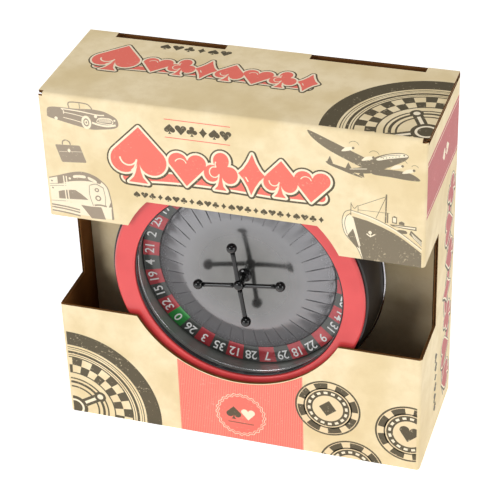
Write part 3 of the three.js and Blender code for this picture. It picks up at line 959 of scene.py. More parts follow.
bmesh.ops.remove_doubles(shape, verts=shape.verts, dist=1e-7)
bmesh.ops.recalc_face_normals(shape, faces=shape.faces)
shape.to_mesh(ring_mesh.data)
shape.free()
stand_in(ring_mesh, "number_ring")

figure_height = 5.6
capital_share = 0.72       # a figure's height as a share of its font size
figure_swell = 0.07        # how far each outline is thickened
figure_half = 0.03         # half the thickness of the ink
figure_lift = 0.045        # the ink's middle above the ring's sloping face
figure_radius = (number_in + number_out) / 2 + 0.6
ring_slope = (number_rise + number_dip) / (number_out - number_in)
figure_depth = number_face + number_dip - ring_slope * (figure_radius - number_in) - figure_lift
parts = []
for pocket, number in enumerate(numbers):
    text = bpy.data.curves.new("figure", "FONT")
    text.body = str(number)
    text.size = figure_height / capital_share * mm
    text.offset = figure_swell * mm
    text.extrude = figure_half * mm
    text.align_x, text.align_y = "CENTER", "CENTER"
    text.resolution_u = 6
    text.space_character = 0.94
    figure = bpy.data.objects.new("figure", text)
    bpy.context.scene.collection.objects.link(figure)
    angle = zero_angle + pocket_turn * pocket
    outward = Vector((math.cos(angle), 0, math.sin(angle)))
    across = Vector((math.sin(angle), 0, -math.cos(angle)))
    up_face = (outward - Vector((0, ring_slope, 0))).normalized()
    figure.matrix_world = Matrix.Translation(
        (Vector((axis_x, wheel_front + figure_depth, axis_z)) + outward * figure_radius) * mm
    ) @ Matrix((across, up_face, across.cross(up_face))).transposed().to_4x4()
    parts.append(figure)
bpy.context.view_layer.update()
figures = bmesh.new()
depsgraph = bpy.context.evaluated_depsgraph_get()
for figure in parts:
    mesh = bpy.data.meshes.new_from_object(figure.evaluated_get(depsgraph))
    mesh.transform(figure.matrix_world)
    figures.from_mesh(mesh)
    bpy.data.meshes.remove(mesh)
    bpy.data.objects.remove(figure)
mesh = bpy.data.meshes.new("number_figures")
figures.to_mesh(mesh)
figures.free()
mesh.materials.append(figure_white)
figure_piece = bpy.data.objects.new("number_figures", mesh)
bpy.context.scene.collection.objects.link(figure_piece)
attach(figure_piece, body_of["number_ring"])


# Turret: a moulded black capstan of a stem, a hub and four arms, each ending in a round knob. It
# stands in the middle of the rotor and turns with it.

turret_gloss = moulded_finish("turret_gloss", tint(6, 6, 7), tint(9, 9, 10), 0.12, 0.15)
stem_low, stem_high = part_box("turret_stem")
stem_near, stem_far = stem_low.y / mm - wheel_front, stem_high.y / mm - wheel_front
hub_low, hub_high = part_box("turret_hub")
hub_near, hub_far = hub_low.y / mm - wheel_front, hub_high.y / mm - wheel_front
hub_radius = (hub_high.x - hub_low.x) / 2 / mm
turret_depth = (hub_near + hub_far) / 2
turned("turret_stem_moulding", "turret_stem", "black_plastic", turret_gloss, rounded([
    (0, stem_far), (4.2, stem_far), (4.1, stem_far - 0.8), (2.9, stem_far - 1.5), (2.2, stem_far - 3.2),
    (2.0, stem_far - 4.6), (2.2, stem_near), (0, stem_near)], 0.5), 64)
turned("turret_hub_moulding", "turret_hub", "black_plastic", turret_gloss, rounded([
    (0, hub_near), (1.6, hub_near + 0.15), (hub_radius - 0.7, hub_near + 0.9), (hub_radius, turret_depth),
    (hub_radius - 0.7, hub_far - 0.9), (1.6, hub_far), (0, hub_far)], 0.9), 64)
turret_turn = 7.8
arm_start, arm_end, knob_place, knob_radius = hub_radius + 0.3, 21.7, 25.0, 3.0
arm_radius = 1.4
arm_profile = [
    (0, arm_start), (arm_radius, arm_start), (arm_radius, arm_start + 1.2),
    (arm_radius - 0.12, arm_start + 5), (arm_radius - 0.16, arm_end - 6),
    (arm_radius - 0.1, arm_end - 2), (arm_radius, arm_end), (0, arm_end),
]


def sphere_profile(middle, radius, steps):
    """Radius and depth from one pole of a sphere to the other."""
    turns = [math.pi * s / steps for s in range(1, steps)]
    between = [(radius * math.sin(a), middle - radius * math.cos(a)) for a in turns]
    return [(0, middle - radius)] + between + [(0, middle + radius)]


knob_profile = sphere_profile(knob_place, knob_radius, 24)
hub_centre = Vector((axis_x, wheel_front + turret_depth, axis_z))
for i in range(4):
    angle = math.radians(90 * (1 - i) + turret_turn)
    reach = Vector((math.cos(angle), 0, math.sin(angle)))
    for part_name, profile, segments in (("arm", arm_profile, 40), ("knob", knob_profile, 48)):
        node = f"turret_{part_name}_{i + 1}"
        turned(node + "_moulding", node, "black_plastic", turret_gloss, profile, segments,
               origin=hub_centre, axis=reach, first=(0, 1, 0))


# Hidden works: the bowl's moulded floor, the turned spindle with its washer and bush, and the base
# plate on its three screws. They keep their own shapes, with their sharp edges broken.

steel = metal_finish("steel", tint(176, 178, 182), tint(150, 152, 158), 0.28)
brass = metal_finish("brass", tint(196, 158, 92), tint(168, 130, 70), 0.32)
broken_edge = 0.18
for node, material, slot in (
    ("bowl_floor", black_plastic, "black_plastic"), ("base_plate", black_plastic, "black_plastic"),
    ("base_screw_1", steel, "steel"), ("base_screw_2", steel, "steel"), ("base_screw_3", steel, "steel"),
    ("spindle", steel, "steel"), ("thrust_washer", steel, "steel"), ("bearing_bush", brass, "brass"),
):
    part = frame["nodes"][node]
    part.data.materials.clear()
    part.data.materials.append(material)
    edge = part.modifiers.new("broken_edges", "BEVEL")
    edge.width = broken_edge * mm
    edge.segments = 2
    edge.limit_method = "ANGLE"
    edge.angle_limit = math.radians(40)


# Ball and cup: a small ivory-coloured ball of solid plastic, kept in a moulded black cup that
# stands on the carton's floor behind the platform.

ivory = moulded_finish("ivory_plastic", tint(240, 236, 222), tint(230, 224, 208), 0.18, 0.6)
ball_low, ball_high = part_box("ball")
ball_radius = (ball_high.x - ball_low.x) / 2 / mm
ball_middle = (ball_low + ball_high) / 2 / mm
turned("ball_moulding", "ball", "ivory_plastic", ivory, sphere_profile(0, ball_radius, 32), 64,
       origin=ball_middle, axis=(0, 0, 1), first=(1, 0, 0))
cup_low, cup_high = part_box("ball_cup")
cup_out = (cup_high.x - cup_low.x) / 2 / mm
cup_tall = (cup_high.z - cup_low.z) / mm
cup_foot = Vector((ball_middle.x, ball_middle.y, cup_low.z / mm))
cup_in = cup_out - 1.6
cup_floor = 1.5
turned("ball_cup_moulding", "ball_cup", "black_plastic", black_plastic, rounded([
    (0, 0), (cup_out, 0), (cup_out, cup_tall), (cup_in, cup_tall), (cup_in, cup_floor), (0, cup_floor)],
    0.5), 64, origin=cup_foot, axis=(0, 0, 1), first=(1, 0, 0))


# Print: thin ink on the liners, laid colour over colour. The motifs are playing-card suits, chips,
# a roulette layout and five old ways of travelling, drawn for this carton.

ink_layer = 0.0018         # how far each lay of ink stands above the one before
ink_rest = 0.012           # the lowest lay's height above the printed face
ink_root = 0.004           # how far the ink reaches into the board


def ink_finish(name, colour, worn, wear):
    """Flat offset ink that lets the paper's mottling through, worn to the paper in small flecks."""
    finish = Finish(name, {"Specular IOR Level": 0.35})
    blotch, mottle, fibre = paper_cloud(finish)
    fleck = finish.between(finish.noise(0.0016, 3) + mottle * 0.12, 0.66, 0.8)
    base = finish.mix(blotch * 0.35, colour, tuple(0.86 * part for part in colour[:3]) + (1,))
    base = finish.mix(fleck * wear, base, worn)
    return finish.feed(
        Base_Color=base,
        Roughness=fibre * 0.2 + 0.42,
        relief=washboard(finish, fibre),
    )


paper_shade = tint(246, 226, 188)
inks = {
    "dark": ink_finish("dark_ink", tint(92, 82, 60), paper_shade, 0.5),
    "olive": ink_finish("olive_ink", tint(132, 120, 98), paper_shade, 0.45),
    # This paler copy of the dark ink is painted glare, laid on the car, bag and locomotive at the header's
    # left.
    "glare_lit_dark": ink_finish("glare_lit_dark_ink", tint(166, 150, 130), paper_shade, 0.4),
    "coral": ink_finish("coral_ink", tint(246, 122, 106), tint(255, 190, 170), 0.35),
    "blush": ink_finish("blush_ink", tint(255, 172, 150), tint(255, 190, 170), 0.35),
    "rose": ink_finish("rose_ink", tint(196, 100, 98), tint(240, 180, 165), 0.4),
    "paper": ink_finish("paper_ink", tint(255, 240, 210), tint(240, 214, 166), 0.3),
    "cream": ink_finish("cream_ink", tint(246, 222, 178), tint(236, 208, 158), 0.3),
}


def curve(points, closed=False, steps=6):
    """A smooth line through a few points."""
    count = len(points)
    line = []
    for i in range(count if closed else count - 1):
        if closed:
            a, b, c, d = (points[(i + k) % count] for k in (-1, 0, 1, 2))
        else:
            a, b, c, d = (points[min(max(i + k, 0), count - 1)] for k in (-1, 0, 1, 2))
        for s in range(steps):
            t = s / steps
            line.append(tuple(
                0.5 * (2 * b[j] + (c[j] - a[j]) * t + (2 * a[j] - 5 * b[j] + 4 * c[j] - d[j]) * t ** 2
                       + (3 * b[j] - a[j] - 3 * c[j] + d[j]) * t ** 3)
                for j in (0, 1)))
    return line if closed else line + [points[-1]]


def stroke(line, width, closed=False):
    """Convex quads of even width along a line, with a round joint at each sharp corner."""
    points = [Vector(p) for i, p in enumerate(line) if i == 0 or math.dist(p, line[i - 1]) > 1e-4]
    if closed and (points[0] - points[-1]).length < 1e-4:
        points.pop()
    count = len(points)
    ways = [(points[(i + 1) % count] - points[i]).normalized() for i in range(count if closed else count - 1)]
    shapes = []
    for i, way in enumerate(ways):
        here, there = points[i], points[(i + 1) % count]
        before = ways[i - 1] if closed or i else way
        after = ways[(i + 1) % len(ways)] if closed or i < len(ways) - 1 else way
        rails = []
        for place, other in ((here, before), (there, after)):
            middle = (way + other).normalized() if way.dot(other) > 0.5 else way
            side = Vector((-middle.y, middle.x)) * (width / 2 / middle.dot(way))
            rails.append((place + side, place - side))
        (a, d), (b, c) = rails
        if (b - a).dot(way) <= 0 or (c - d).dot(way) <= 0:
            side = Vector((-way.y, way.x)) * (width / 2)
            a, b, c, d = here + side, there + side, there - side, here - side
        shapes.append([tuple(p) for p in (a, b, c, d)])
        if way.dot(after) <= 0.5:
            shapes += disc(tuple(there), width / 2, 12)
    return shapes


def band(centre, inner, outer, start=0.0, end=360.0, steps=72):
    """Quads of a flat ring, or of part of one."""
    near = arc(*centre, inner, start, end, steps)
    far = arc(*centre, outer, start, end, steps)
    return [[near[i], far[i], far[i + 1], near[i + 1]] for i in range(steps)]


def disc(centre, radius, steps=28, squeeze=1.0):
    return [[(u, centre[1] + (v - centre[1]) * squeeze) for u, v in arc(*centre, radius, 0, 360, steps)[:-1]]]


def mirrored(points):
    """Points on the right side, followed by the same points on the left, in reverse."""
    return points + [(-u, v) for u, v in reversed(points) if u > 0.001]


heart = mirrored([(0, -0.5)] + arc(0.255, 0.2, 0.255, -35, 165, 14))[:-1]
spade = mirrored([(0, 0.5)] + arc(0.25, -0.1, 0.24, 38, -165, 14)
                 + [(0.045, -0.3), (0.08, -0.4), (0.17, -0.5)])
diamond = mirrored([(0, 0.5), (0.1, 0.3), (0.22, 0.13), (0.37, 0), (0.22, -0.13), (0.1, -0.3), (0, -0.5)])
club = mirrored(arc(0, 0.27, 0.22, 90, -35, 8) + arc(0.25, -0.08, 0.225, 78, -160, 12)
                + [(0.045, -0.26), (0.08, -0.4), (0.17, -0.5)])
suits = (spade, heart, club, diamond)


def moved(points, centre, size, wide=1.0, turn=0.0, lean=0.0):
    """An outline of height 1, set at a centre with a size, a width factor, a turn and a lean."""
    c, s = math.cos(math.radians(turn)), math.sin(math.radians(turn))
    placed = []
    for u, v in points:
        across = wide * (u + lean * v)
        placed.append((centre[0] + size * (across * c - v * s), centre[1] + size * (across * s + v * c)))
    return placed


def clipped(shape, window):
    """A convex shape cut to a rectangle."""
    low_u, low_v, high_u, high_v = window
    for axis, limit, sign in ((0, low_u, 1), (0, high_u, -1), (1, low_v, 1), (1, high_v, -1)):
        kept = []
        for i, here in enumerate(shape):
            before = shape[i - 1]
            inside, was = sign * (here[axis] - limit) >= 0, sign * (before[axis] - limit) >= 0
            if inside != was:
                t = (limit - before[axis]) / (here[axis] - before[axis])
                kept.append(tuple(before[j] + (here[j] - before[j]) * t for j in (0, 1)))
            if inside:
                kept.append(here)
        shape = kept
        if len(shape) < 3:
            return []
    return shape


def covered(shapes):
    """Triangles that cover overlapping convex shapes once."""
    corners, rings = [], []
    for shape in shapes:
        area = sum(a[0] * b[1] - b[0] * a[1] for a, b in zip(shape, shape[1:] + shape[:1]))
        if abs(area) > 1e-6:
            rings.append(list(range(len(corners), len(corners) + len(shape))))
            corners += [Vector(p) for p in (shape if area > 0 else reversed(shape))]
    if not rings:
        return []
    cut = delaunay_2d_cdt(corners, [], rings, 1, 1e-5)
    points, triangles, sources = cut[0], cut[2], cut[5]
    return [[tuple(points[i]) for i in triangle] for triangle, source in zip(triangles, sources) if source]


class Print:
    """All the ink on one panel. Each motif starts at the paper; each lay goes over the one before."""

    def __init__(self, panel, window):
        self.panel = panel
        self.window = window
        self.films = {}
        self.level = 0

    def motif(self, level=0):
        self.level = level

    def lay(self, ink, shapes):
        self.level += 1
        film = self.films.setdefault(ink, Solid())
        kept = covered([cut for cut in (clipped(shape, self.window) for shape in shapes) if cut])
        if kept:
            top = -print_room + ink_rest + self.level * ink_layer
            film.slab(self.panel, kept, -print_room - ink_root, top, 0, 0)

    def line(self, ink, width, points, closed=False):
        self.lay(ink, stroke(points, width, closed))

    def finish(self, name, body):
        for ink, film in self.films.items():
            piece = mesh_piece(f"{name}_{ink}_ink", film.points, film.faces, [inks[ink]])
            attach(piece, body)


def suit_word(art, places, weight):
    """A word-like row of big suits: each place is (suit, centre, height, width factor, lean)."""
    outlines = [moved(suits[suit], centre, size, wide, 0, lean) for suit, centre, size, wide, lean in places]
    edge, paper_edge, drop = 2.35 * weight, 1.3 * weight, 0.15 * weight
    for outline in outlines:
        shadow = [(u + drop, v - drop) for u, v in outline]
        art.lay("dark", stroke(shadow, 2 * edge, True))
    for outline in outlines:
        art.lay("dark", fill([(u + drop, v - drop) for u, v in outline]))
    for outline in outlines:
        art.lay("paper", stroke(outline, 2 * paper_edge, True))
    for outline in outlines:
        art.lay("coral", fill(outline))
    for suit, centre, size, wide, lean in places:
        middle = (centre[0] - 0.02 * size, centre[1] + 0.01 * size)
        inner = moved(suits[suit], middle, size * 0.62, wide, 0, lean)
        art.line("paper", 0.028 * size, inner[len(inner) // 2 + 1:-3])


def ribbon(art, line, weight):
    """A sweep of colour with a paper edge and a dark shadow, round at both ends."""
    for ink, width, drop in (("dark", 9.9, 0.15), ("paper", 7.8, 0), ("coral", 5.2, 0)):
        path = [(u + drop * weight, v - drop * weight) for u, v in curve(line, steps=10)]
        half = width * weight / 2
        art.lay(ink, stroke(path, 2 * half) + disc(path[0], half) + disc(path[-1], half))


def suit_row(art, ink, start, end, level, size, pitch):
    """Small suits in a level row, alternating in kind."""
    count = round((end - start) / pitch)
    for i in range(count + 1):
        centre = (start + (end - start) * i / count, level)
        art.lay(ink, fill(moved(suits[i % 4], centre, size, 1.05)))


def roulette_art(art, ink, centre, outer, first_cell=8.0):
    """A roulette wheel seen from above: rim, tracks, two rings of chequers, and a capstan."""
    art.motif()
    art.lay(ink, band(centre, 0.83 * outer, outer, steps=120))
    for radius, width in ((0.80, 0.6), (0.775, 0.35), (0.735, 1.7), (0.70, 0.5)):
        art.lay(ink, band(centre, radius * outer - width / 2, radius * outer + width / 2, steps=120))
    for near, far in ((0.46, 0.475), (0.665, 0.68)):
        art.lay(ink, band(centre, near * outer, far * outer, steps=120))
    cells = 36
    for i in range(cells):
        start = first_cell + 360 / cells * i
        near, far = ((0.475, 0.57), (0.57, 0.665))[i % 2]
        art.lay(ink, band(centre, near * outer, far * outer, start, start + 360 / cells, 4))
        art.level -= 1
    for radius, width in ((0.39, 1.0), (0.34, 1.7), (0.28, 1.1)):
        art.lay(ink, band(centre, radius * outer - width / 2, radius * outer + width / 2))
    for turn in range(4):
        angle = math.radians(first_cell + 90 * turn + 24)
        tip = (centre[0] + 0.36 * outer * math.cos(angle), centre[1] + 0.36 * outer * math.sin(angle))
        art.line(ink, 0.10 * outer, [centre, tip])
        art.line("paper", 0.035 * outer, [centre, tip])
        art.lay(ink, disc(tip, 0.066 * outer))
        art.lay("paper", disc(tip, 0.034 * outer))
    art.lay(ink, disc(centre, 0.15 * outer))
    art.lay("paper", band(centre, 0.085 * outer, 0.11 * outer))


above_stripe = 6
chip_suits = (spade, heart, club, [(0, 0.5), (0.46, 0), (0, -0.5), (-0.46, 0)])


def chip_art(art, centre, radius, suit, turn):
    """A gaming chip: edge blocks, a dotted ring and a suit in the middle."""
    art.motif(above_stripe)
    art.lay("cream", disc(centre, radius, 60))
    art.lay("dark", band(centre, 0.945 * radius, radius))
    blocks = 8
    for i in range(blocks):
        start = turn + 360 / blocks * i
        art.lay("dark", band(centre, 0.70 * radius, 0.925 * radius, start, start + 28, 5))
        art.level -= 1
    art.lay("dark", band(centre, 0.70 * radius, 0.745 * radius))
    art.lay("dark", band(centre, 0.47 * radius, 0.665 * radius))
    dots = 16
    for i in range(dots):
        start = turn + 360 / dots * i
        art.lay("paper", band(centre, 0.53 * radius, 0.61 * radius, start, start + 12, 2))
        art.level -= 1
    art.lay("dark", fill(moved(chip_suits[suit], centre, 0.58 * radius, 1.0, -8)))


def car_art(art, u, v):
    """An open tourer, three-quarter view."""
    squash = 0.74

    def at(*points):
        return [(u + a, v + squash * b) for a, b in points]

    art.motif()
    art.lay("glare_lit_dark", fill(curve(at(
        (0.4, 6), (0.8, 11), (3, 12.6), (8, 13.2), (14, 13.3), (20, 13.7), (27, 14.6), (34, 14), (38, 12),
        (41.5, 9.2), (42.6, 5.5), (42, 2.4), (39, 0.2), (33, -1.4), (26, -2.6), (18, -1), (8, 1.6), (1, 3.8),
    ), True, 4)))
    art.line("glare_lit_dark", 0.7, curve(at((14, 13.4), (13.6, 17.0), (15.0, 18.6), (20, 19.0), (24.6, 18.6),
                                    (26.6, 16.8), (27.6, 14.4))))
    art.line("glare_lit_dark", 0.45, at((20.2, 19.0), (20.4, 14.0)))
    for width, points in ((0.7, ((9, 12.2), (20, 11.7), (30, 10.4), (34.6, 10.8))),
                          (0.45, ((10, 9.4), (17, 8.5), (25.5, 6.7))),
                          (0.45, ((10, 4.8), (16, 3.7), (21, 2.4))),
                          (0.4, ((9.2, 12.2), (10.6, 10.4), (10.4, 7.8)))):
        art.line("paper", width, curve(at(*points)))
    art.line("paper", 1.2, curve(at((27, 3.4), (31, 2.2), (36, 1.9), (41, 3.6))))
    grille = at((30, 5.4), (32, 8), (37.6, 8.4), (39.4, 6.2), (38, 3.8), (31, 3.9))
    art.line("paper", 0.5, curve(grille, True))
    for step in range(4):
        art.line("paper", 0.35, at((31, 4.9 + 0.9 * step), (38.6, 5.4 + 0.8 * step)))
        art.level -= 1
    for place, radius in (((29.4, 8.9), 0.95), ((40.4, 7.4), 0.6), ((5.6, 3.4), 1.0)):
        art.lay("paper", disc(at(place)[0], radius))
    wheel = (u + 23.6, v + 2.2)
    for ink, radius in (("paper", 2.9), ("glare_lit_dark", 1.75), ("paper", 1.15), ("glare_lit_dark", 0.5)):
        art.lay(ink, disc(wheel, radius, 24, 1.45))


def case_art(art, u, v):
    """A travelling bag with a handle and a clasp."""
    art.motif()
    art.lay("glare_lit_dark", fill([(u, v + 10.6), (u + 0.5, v + 11), (u + 14.4, v + 12), (u + 15, v + 11.6),
                           (u + 18, v + 2), (u + 17.6, v + 1.4), (u + 3.6, v), (u + 3, v + 0.5)]))
    art.line("glare_lit_dark", 0.75, curve([(u + 4.4, v + 11.4), (u + 4.8, v + 13.6), (u + 6.6, v + 14.5),
                                   (u + 8.6, v + 13.7), (u + 9.2, v + 11.8)]))
    art.lay("paper", disc((u + 8.1, v + 8), 0.9, 16, 1.25))
    art.line("paper", 0.22, [(u + 2, v + 6.6), (u + 7, v + 7.2)])
    art.line("paper", 0.22, [(u + 9.2, v + 7.5), (u + 16.2, v + 8.2)])


def train_art(art, u, v):
    """The rounded nose of a streamlined locomotive."""
    def at(*points):
        return [(u + a, v + b) for a, b in points]

    art.motif()
    roof = curve(at((-2, 22.8), (6.9, 25.8), (16.5, 29.3), (23.4, 30.4), (29.6, 28.9), (33.7, 26.2),
                    (37.1, 22.4), (38.5, 16), (39, 11), (39.4, 1.8)))
    art.lay("paper", fill(roof + at((-2, 1.6))))
    art.lay("glare_lit_dark", fill(curve(at((6.9, 25.9), (16.5, 29.4), (23.4, 30.5), (29.6, 29), (34, 26))) +
                          curve(at((33, 24.2), (27, 25), (21, 24.6), (14, 23.2), (6.9, 20.6)))))
    art.line("glare_lit_dark", 0.7, roof)
    for pane in (((17, 27.6), (20, 28.3), (24, 28.4), (24.2, 26.8), (20, 26.6), (17, 26)),
                 ((26, 28), (29, 27), (31, 25.6), (30.4, 24.6), (27, 25.8), (25.8, 26.6))):
        art.lay("paper", fill(curve(at(*pane), True, 3)))
    art.lay("paper", disc((u + 14.6, v + 25.3), 0.75))
    cab_roof = curve(at((6.9, 15.8), (12, 17.4), (17.4, 18)))
    art.lay("glare_lit_dark", fill(cab_roof + at((21, 15.8), (24.9, 12.6), (6.9, 11))))
    art.lay("glare_lit_dark", fill(at((20, 8.6), (26, 8.4), (32.4, 8.8), (34.6, 0.9), (26, 0.5))))
    for height, slope in ((20.2, 1.6), (18.9, 1.4), (9.4, 0.5)):
        art.line("glare_lit_dark", 0.3, at((-1, height - 0.6), (12, height + slope)))
    for height in (6.6, 4.9, 2.6):
        art.line("glare_lit_dark", 0.9, curve(at((-1, height), (10, height - 0.5), (19, height - 1.6))))
    for left in (11.4, 13.1):
        art.line("paper", 0.7, at((left, 8), (left - 0.6, 26.6)))
    art.line("glare_lit_dark", 0.35, curve(at((26.2, 22.4), (26, 16), (27.6, 9.2))))
    art.line("glare_lit_dark", 0.35, curve(at((34.6, 21.8), (35.4, 16), (35, 9.6))))
    art.line("glare_lit_dark", 0.5, curve(at((26.5, 22.6), (30.5, 23.8), (34.8, 21.8))))
    art.lay("glare_lit_dark", band((u + 30.6, v + 20), 0.7, 1.35))
    art.lay("glare_lit_dark", band((u + 31, v + 14.6), 1.0, 1.8))
    art.line("glare_lit_dark", 1.0, curve(at((28.4, 9.6), (32, 10.2), (35.8, 9.8))))
    art.line("glare_lit_dark", 0.9, at((39, 8.6), (38.9, 1.4)))
    art.lay("glare_lit_dark", fill(at((37, 9.4), (39, 9.8), (38.9, 14))))
    for window in ((0.6, 21.4), (3.4, 22.2), (3.6, 17.6)):
        art.lay("glare_lit_dark", disc((u + window[0], v + window[1]), 0.65, 4))
    art.line("glare_lit_dark", 0.4, at((0.6, 3), (0.2, 22.8)))


def plane_art(art):
    """A four-engined airliner, banking away."""
    art.motif()
    art.lay("olive", fill(curve([(44.8, 219.2), (48, 218.6), (57.4, 214.7), (66.8, 210.8), (77, 206.4),
                                 (80, 203.4), (76, 200.6), (66.7, 204), (55.3, 209.4),
                                 (47.6, 215)], True, 4)))
    art.lay("olive", fill(curve([(80, 200.2), (88, 201.4), (97, 201.4), (102.6, 200), (106.3, 197),
                                 (100, 196.4), (90, 197), (80.6, 197.4)], True, 4)))
    art.lay("olive", fill(curve([(55, 201.8), (60, 200.4), (66, 198.9), (70, 197), (75.2, 194.4),
                                 (70.6, 195.2), (63, 197.6), (56.4, 199.9)], True, 3)))
    for fin in (((55.4, 201.4), (57.1, 205.3), (58.8, 200.9)), ((65.4, 198.6), (67.2, 202.8), (69.2, 199)),
                ((72.8, 195.8), (75, 198.8), (76, 194.6))):
        art.lay("olive", fill(fin))
    art.lay("olive", fill(curve([(66.4, 199), (74, 200.8), (80, 206.6), (86, 210), (93.6, 212.2), (98, 212.2),
                                 (99.8, 210.6), (97.6, 207.8), (92, 204.4), (85, 200.4), (78.6, 197.6),
                                 (70, 197)], True, 4)))
    art.lay("paper", fill(curve([(82.6, 207.2), (88, 210.2), (94, 211.8), (98, 211.9), (99.3, 210.6),
                                 (95, 209.4), (88, 207.6), (83.6, 206.2)], True, 4)))
    art.line("olive", 0.32, curve([(84.6, 208), (89, 210), (95.4, 211.2)]))
    for place in range(6):
        art.lay("olive", disc((86.2 + 1.7 * place, 208.0 + 0.42 * place), 0.28, 10))
        art.level -= 1
    art.lay("olive", disc((97.4, 211.2), 0.5, 12))
    for u, v, spin in ((66.4, 210.8, 3.0), (77.4, 206.6, 2.9), (93.2, 203.6, 2.2), (99.4, 201.8, 2.0)):
        nose = (u + 3.2, v + 1.6)
        art.lay("paper", fill(curve([(u - 3, v - 1.6), (u - 0.6, v + 0.9), nose,
                                     (nose[0] + 0.4, nose[1] - 1.3), (u, v - 1.2)], True, 4)))
        art.lay("olive", disc((nose[0] + 0.2, nose[1] - 0.6), 0.75, 14))
        art.line("olive", 0.22, arc(nose[0] + 0.6, nose[1] + 0.6, spin, 150, 20, 12))
    art.line("paper", 0.4, [(68, 198.8), (77.4, 200.2)])


def ship_art(art):
    """The bow of an ocean liner."""
    art.motif()
    art.lay("paper", fill(
        curve([(68.8, 169.9), (65.2, 168.6), (63.8, 164.4), (65.4, 157.6), (69.6, 152.6), (72.6, 148.6),
               (75.6, 141.4)]) + [(80, 141.4), (72.6, 156), (70.2, 166)]))
    art.line("olive", 0.4, curve([(68.6, 173.4), (65.2, 171.4), (63.7, 165.6), (65.2, 158), (69.6, 152.6),
                                  (72.6, 148.6), (75.6, 141.2)]))
    art.line("olive", 0.35, curve([(68.6, 171.4), (66, 168.6), (65.2, 163.6), (66.6, 157.6)]))
    art.lay("olive", fill([(69.5, 169.4), (78, 167.8)] + curve([(86, 165), (96, 160.2), (109.7, 150.4)]) +
                          [(109.7, 141), (75.8, 141), (73.6, 150)]))
    art.lay("olive", fill([(66.6, 156.6), (69.8, 161.6), (73.4, 149.4), (71.4, 150.4)]))
    art.line("paper", 0.55, [(69.7, 168.6), (73.8, 151)])
    art.line("paper", 0.9, curve([(68.6, 172.6), (78, 170.4), (87, 167), (97, 161.6), (109.8, 152)]))
    art.line("olive", 0.35, curve([(68.6, 173.2), (78, 171.1), (87, 167.8), (97, 162.4), (109.8, 153)]))
    art.line("olive", 0.4, [(68.7, 178), (68.6, 170)])
    art.line("olive", 0.3, curve([(68.7, 177.4), (70.6, 174.6), (72.4, 176.6), (72.6, 172.8)]))
    art.line("olive", 0.8, [(88.2, 186), (87.8, 168)])
    for foot in ((72.6, 176.4), (82.6, 170.4)):
        art.line("olive", 0.3, [(88.1, 184.6), foot])
    art.line("olive", 0.22, [(72.6, 174), (87.8, 174.4), (90, 174.4)])
    funnels = ((88.6, 0.7, 6.4, 168.4), (91.4, 2.7, 4.6, 168.6), (95.2, 3.0, 2.2, 168.2))
    for left, wide, tall, ground in funnels:
        shoulder = ground + tall - 0.8
        art.lay("olive", fill([(left, ground), (left + wide, ground - 0.2), (left + wide, shoulder),
                               (left + wide / 2, ground + tall), (left, shoulder)]))
        art.level -= 1
    art.level += 1
    art.lay("paper", fill([(91.9, 169.2), (93.6, 169.1), (93.6, 172), (91.9, 172.1)]))
    art.lay("olive", fill([(90, 167.6), (98, 167.9), (104.8, 167.9),
                           (104.9, 165.6), (98, 166), (91.6, 166.6)]))
    art.lay("paper", fill([(92.4, 167.2), (104.2, 167.4), (104.2, 166.4), (98, 166.5), (93, 166.9)]))
    art.lay("olive", fill(curve([(94.4, 164.6), (99, 164.8), (99.6, 163), (96, 162.8)], True, 3)))
    art.lay("olive", fill([(101, 162.8), (101.8, 165.4), (109.7, 158.4), (109.7, 154.4)]))
    for shift in (0, 1.1, 2.2):
        art.line("paper", 0.35, [(102 + 0.4 * shift, 163.6 - 0.9 * shift), (109.8, 156.9 - 0.9 * shift)])
    art.lay("paper", disc((79.3, 160.6), 1.0, 14))
    art.line("paper", 0.7, curve([(77.4, 159.6), (79.5, 158.2), (82, 159.8)]))
    art.line("paper", 0.5, [(79.4, 160.6), (79.6, 157.6)])


# Print on the front: suits in place of a title, with the travel motifs beside them, and on the tray
# a roulette wheel, a striped band with a round badge, and three chips.

header_art = Print(front_panel, (-fold_x, window_top, fold_x, header_top))
header_art.motif()
title_lean = 0.06
title = [
    (0, (-52.4, 190), 35.5, 0.95, title_lean), (1, (-24.2, 185), 21.5, 1.0, title_lean),
    (2, (-4.6, 186.6), 24, 0.86, title_lean), (3, (13, 187), 26, 0.8, title_lean),
    (0, (29.4, 186.6), 23, 0.86, title_lean), (1, (47, 184.6), 20, 1.0, title_lean),
]
ribbon(header_art, [(-60, 175), (-40, 177.5), (-10, 178.7), (25, 177.7), (52, 178.3)], 1.0)
suit_word(header_art, title, 1.0)
header_art.motif()
for level, end in ((215.0, 1.8), (203.8, 1.4)):
    header_art.line("coral", 0.5, [(-36, level), (end, level)])
suit_row(header_art, "dark", -33, -1, 209.2, 6.2, 6.4)
suit_row(header_art, "dark", -55, 52, 164.4, 3.9, 4.65)
# The car, bag and locomotive at the left are laid in the paler copy of the dark ink, as painted glare.
car_art(header_art, -105.4, 204.4)
case_art(header_art, -102, 179)
train_art(header_art, -109.8, 143.4)
plane_art(header_art)
ship_art(header_art)
header_art.finish("header", "carton")

stripe_left, stripe_right = -37.5, 39.5
tray_art = Print(front_panel, (-fold_x, 0, fold_x, window_bottom))
tray_art.motif()
low_start = math.degrees(math.acos(stripe_right / (cutout_radius + 0.6)))
low_end = math.degrees(math.acos(-stripe_left / (cutout_radius + 0.6)))
stripe_top = arc(0, cutout_height, cutout_radius + 0.6, -low_start, -180 + low_end, 40)
tray_art.lay("coral", fill([(stripe_left, 0), (stripe_right, 0)] + stripe_top))
pinstripe = 1.1
for i in range(int((stripe_right - stripe_left) / pinstripe)):
    u = stripe_left + pinstripe * (i + 0.5)
    top = cutout_height - math.sqrt((cutout_radius + 1.2) ** 2 - u ** 2)
    tray_art.lay("blush", stroke([(u, 0), (u, top)], 0.22))
    tray_art.level -= 1
badge = (0.9, 18.8)
tray_art.level += 1


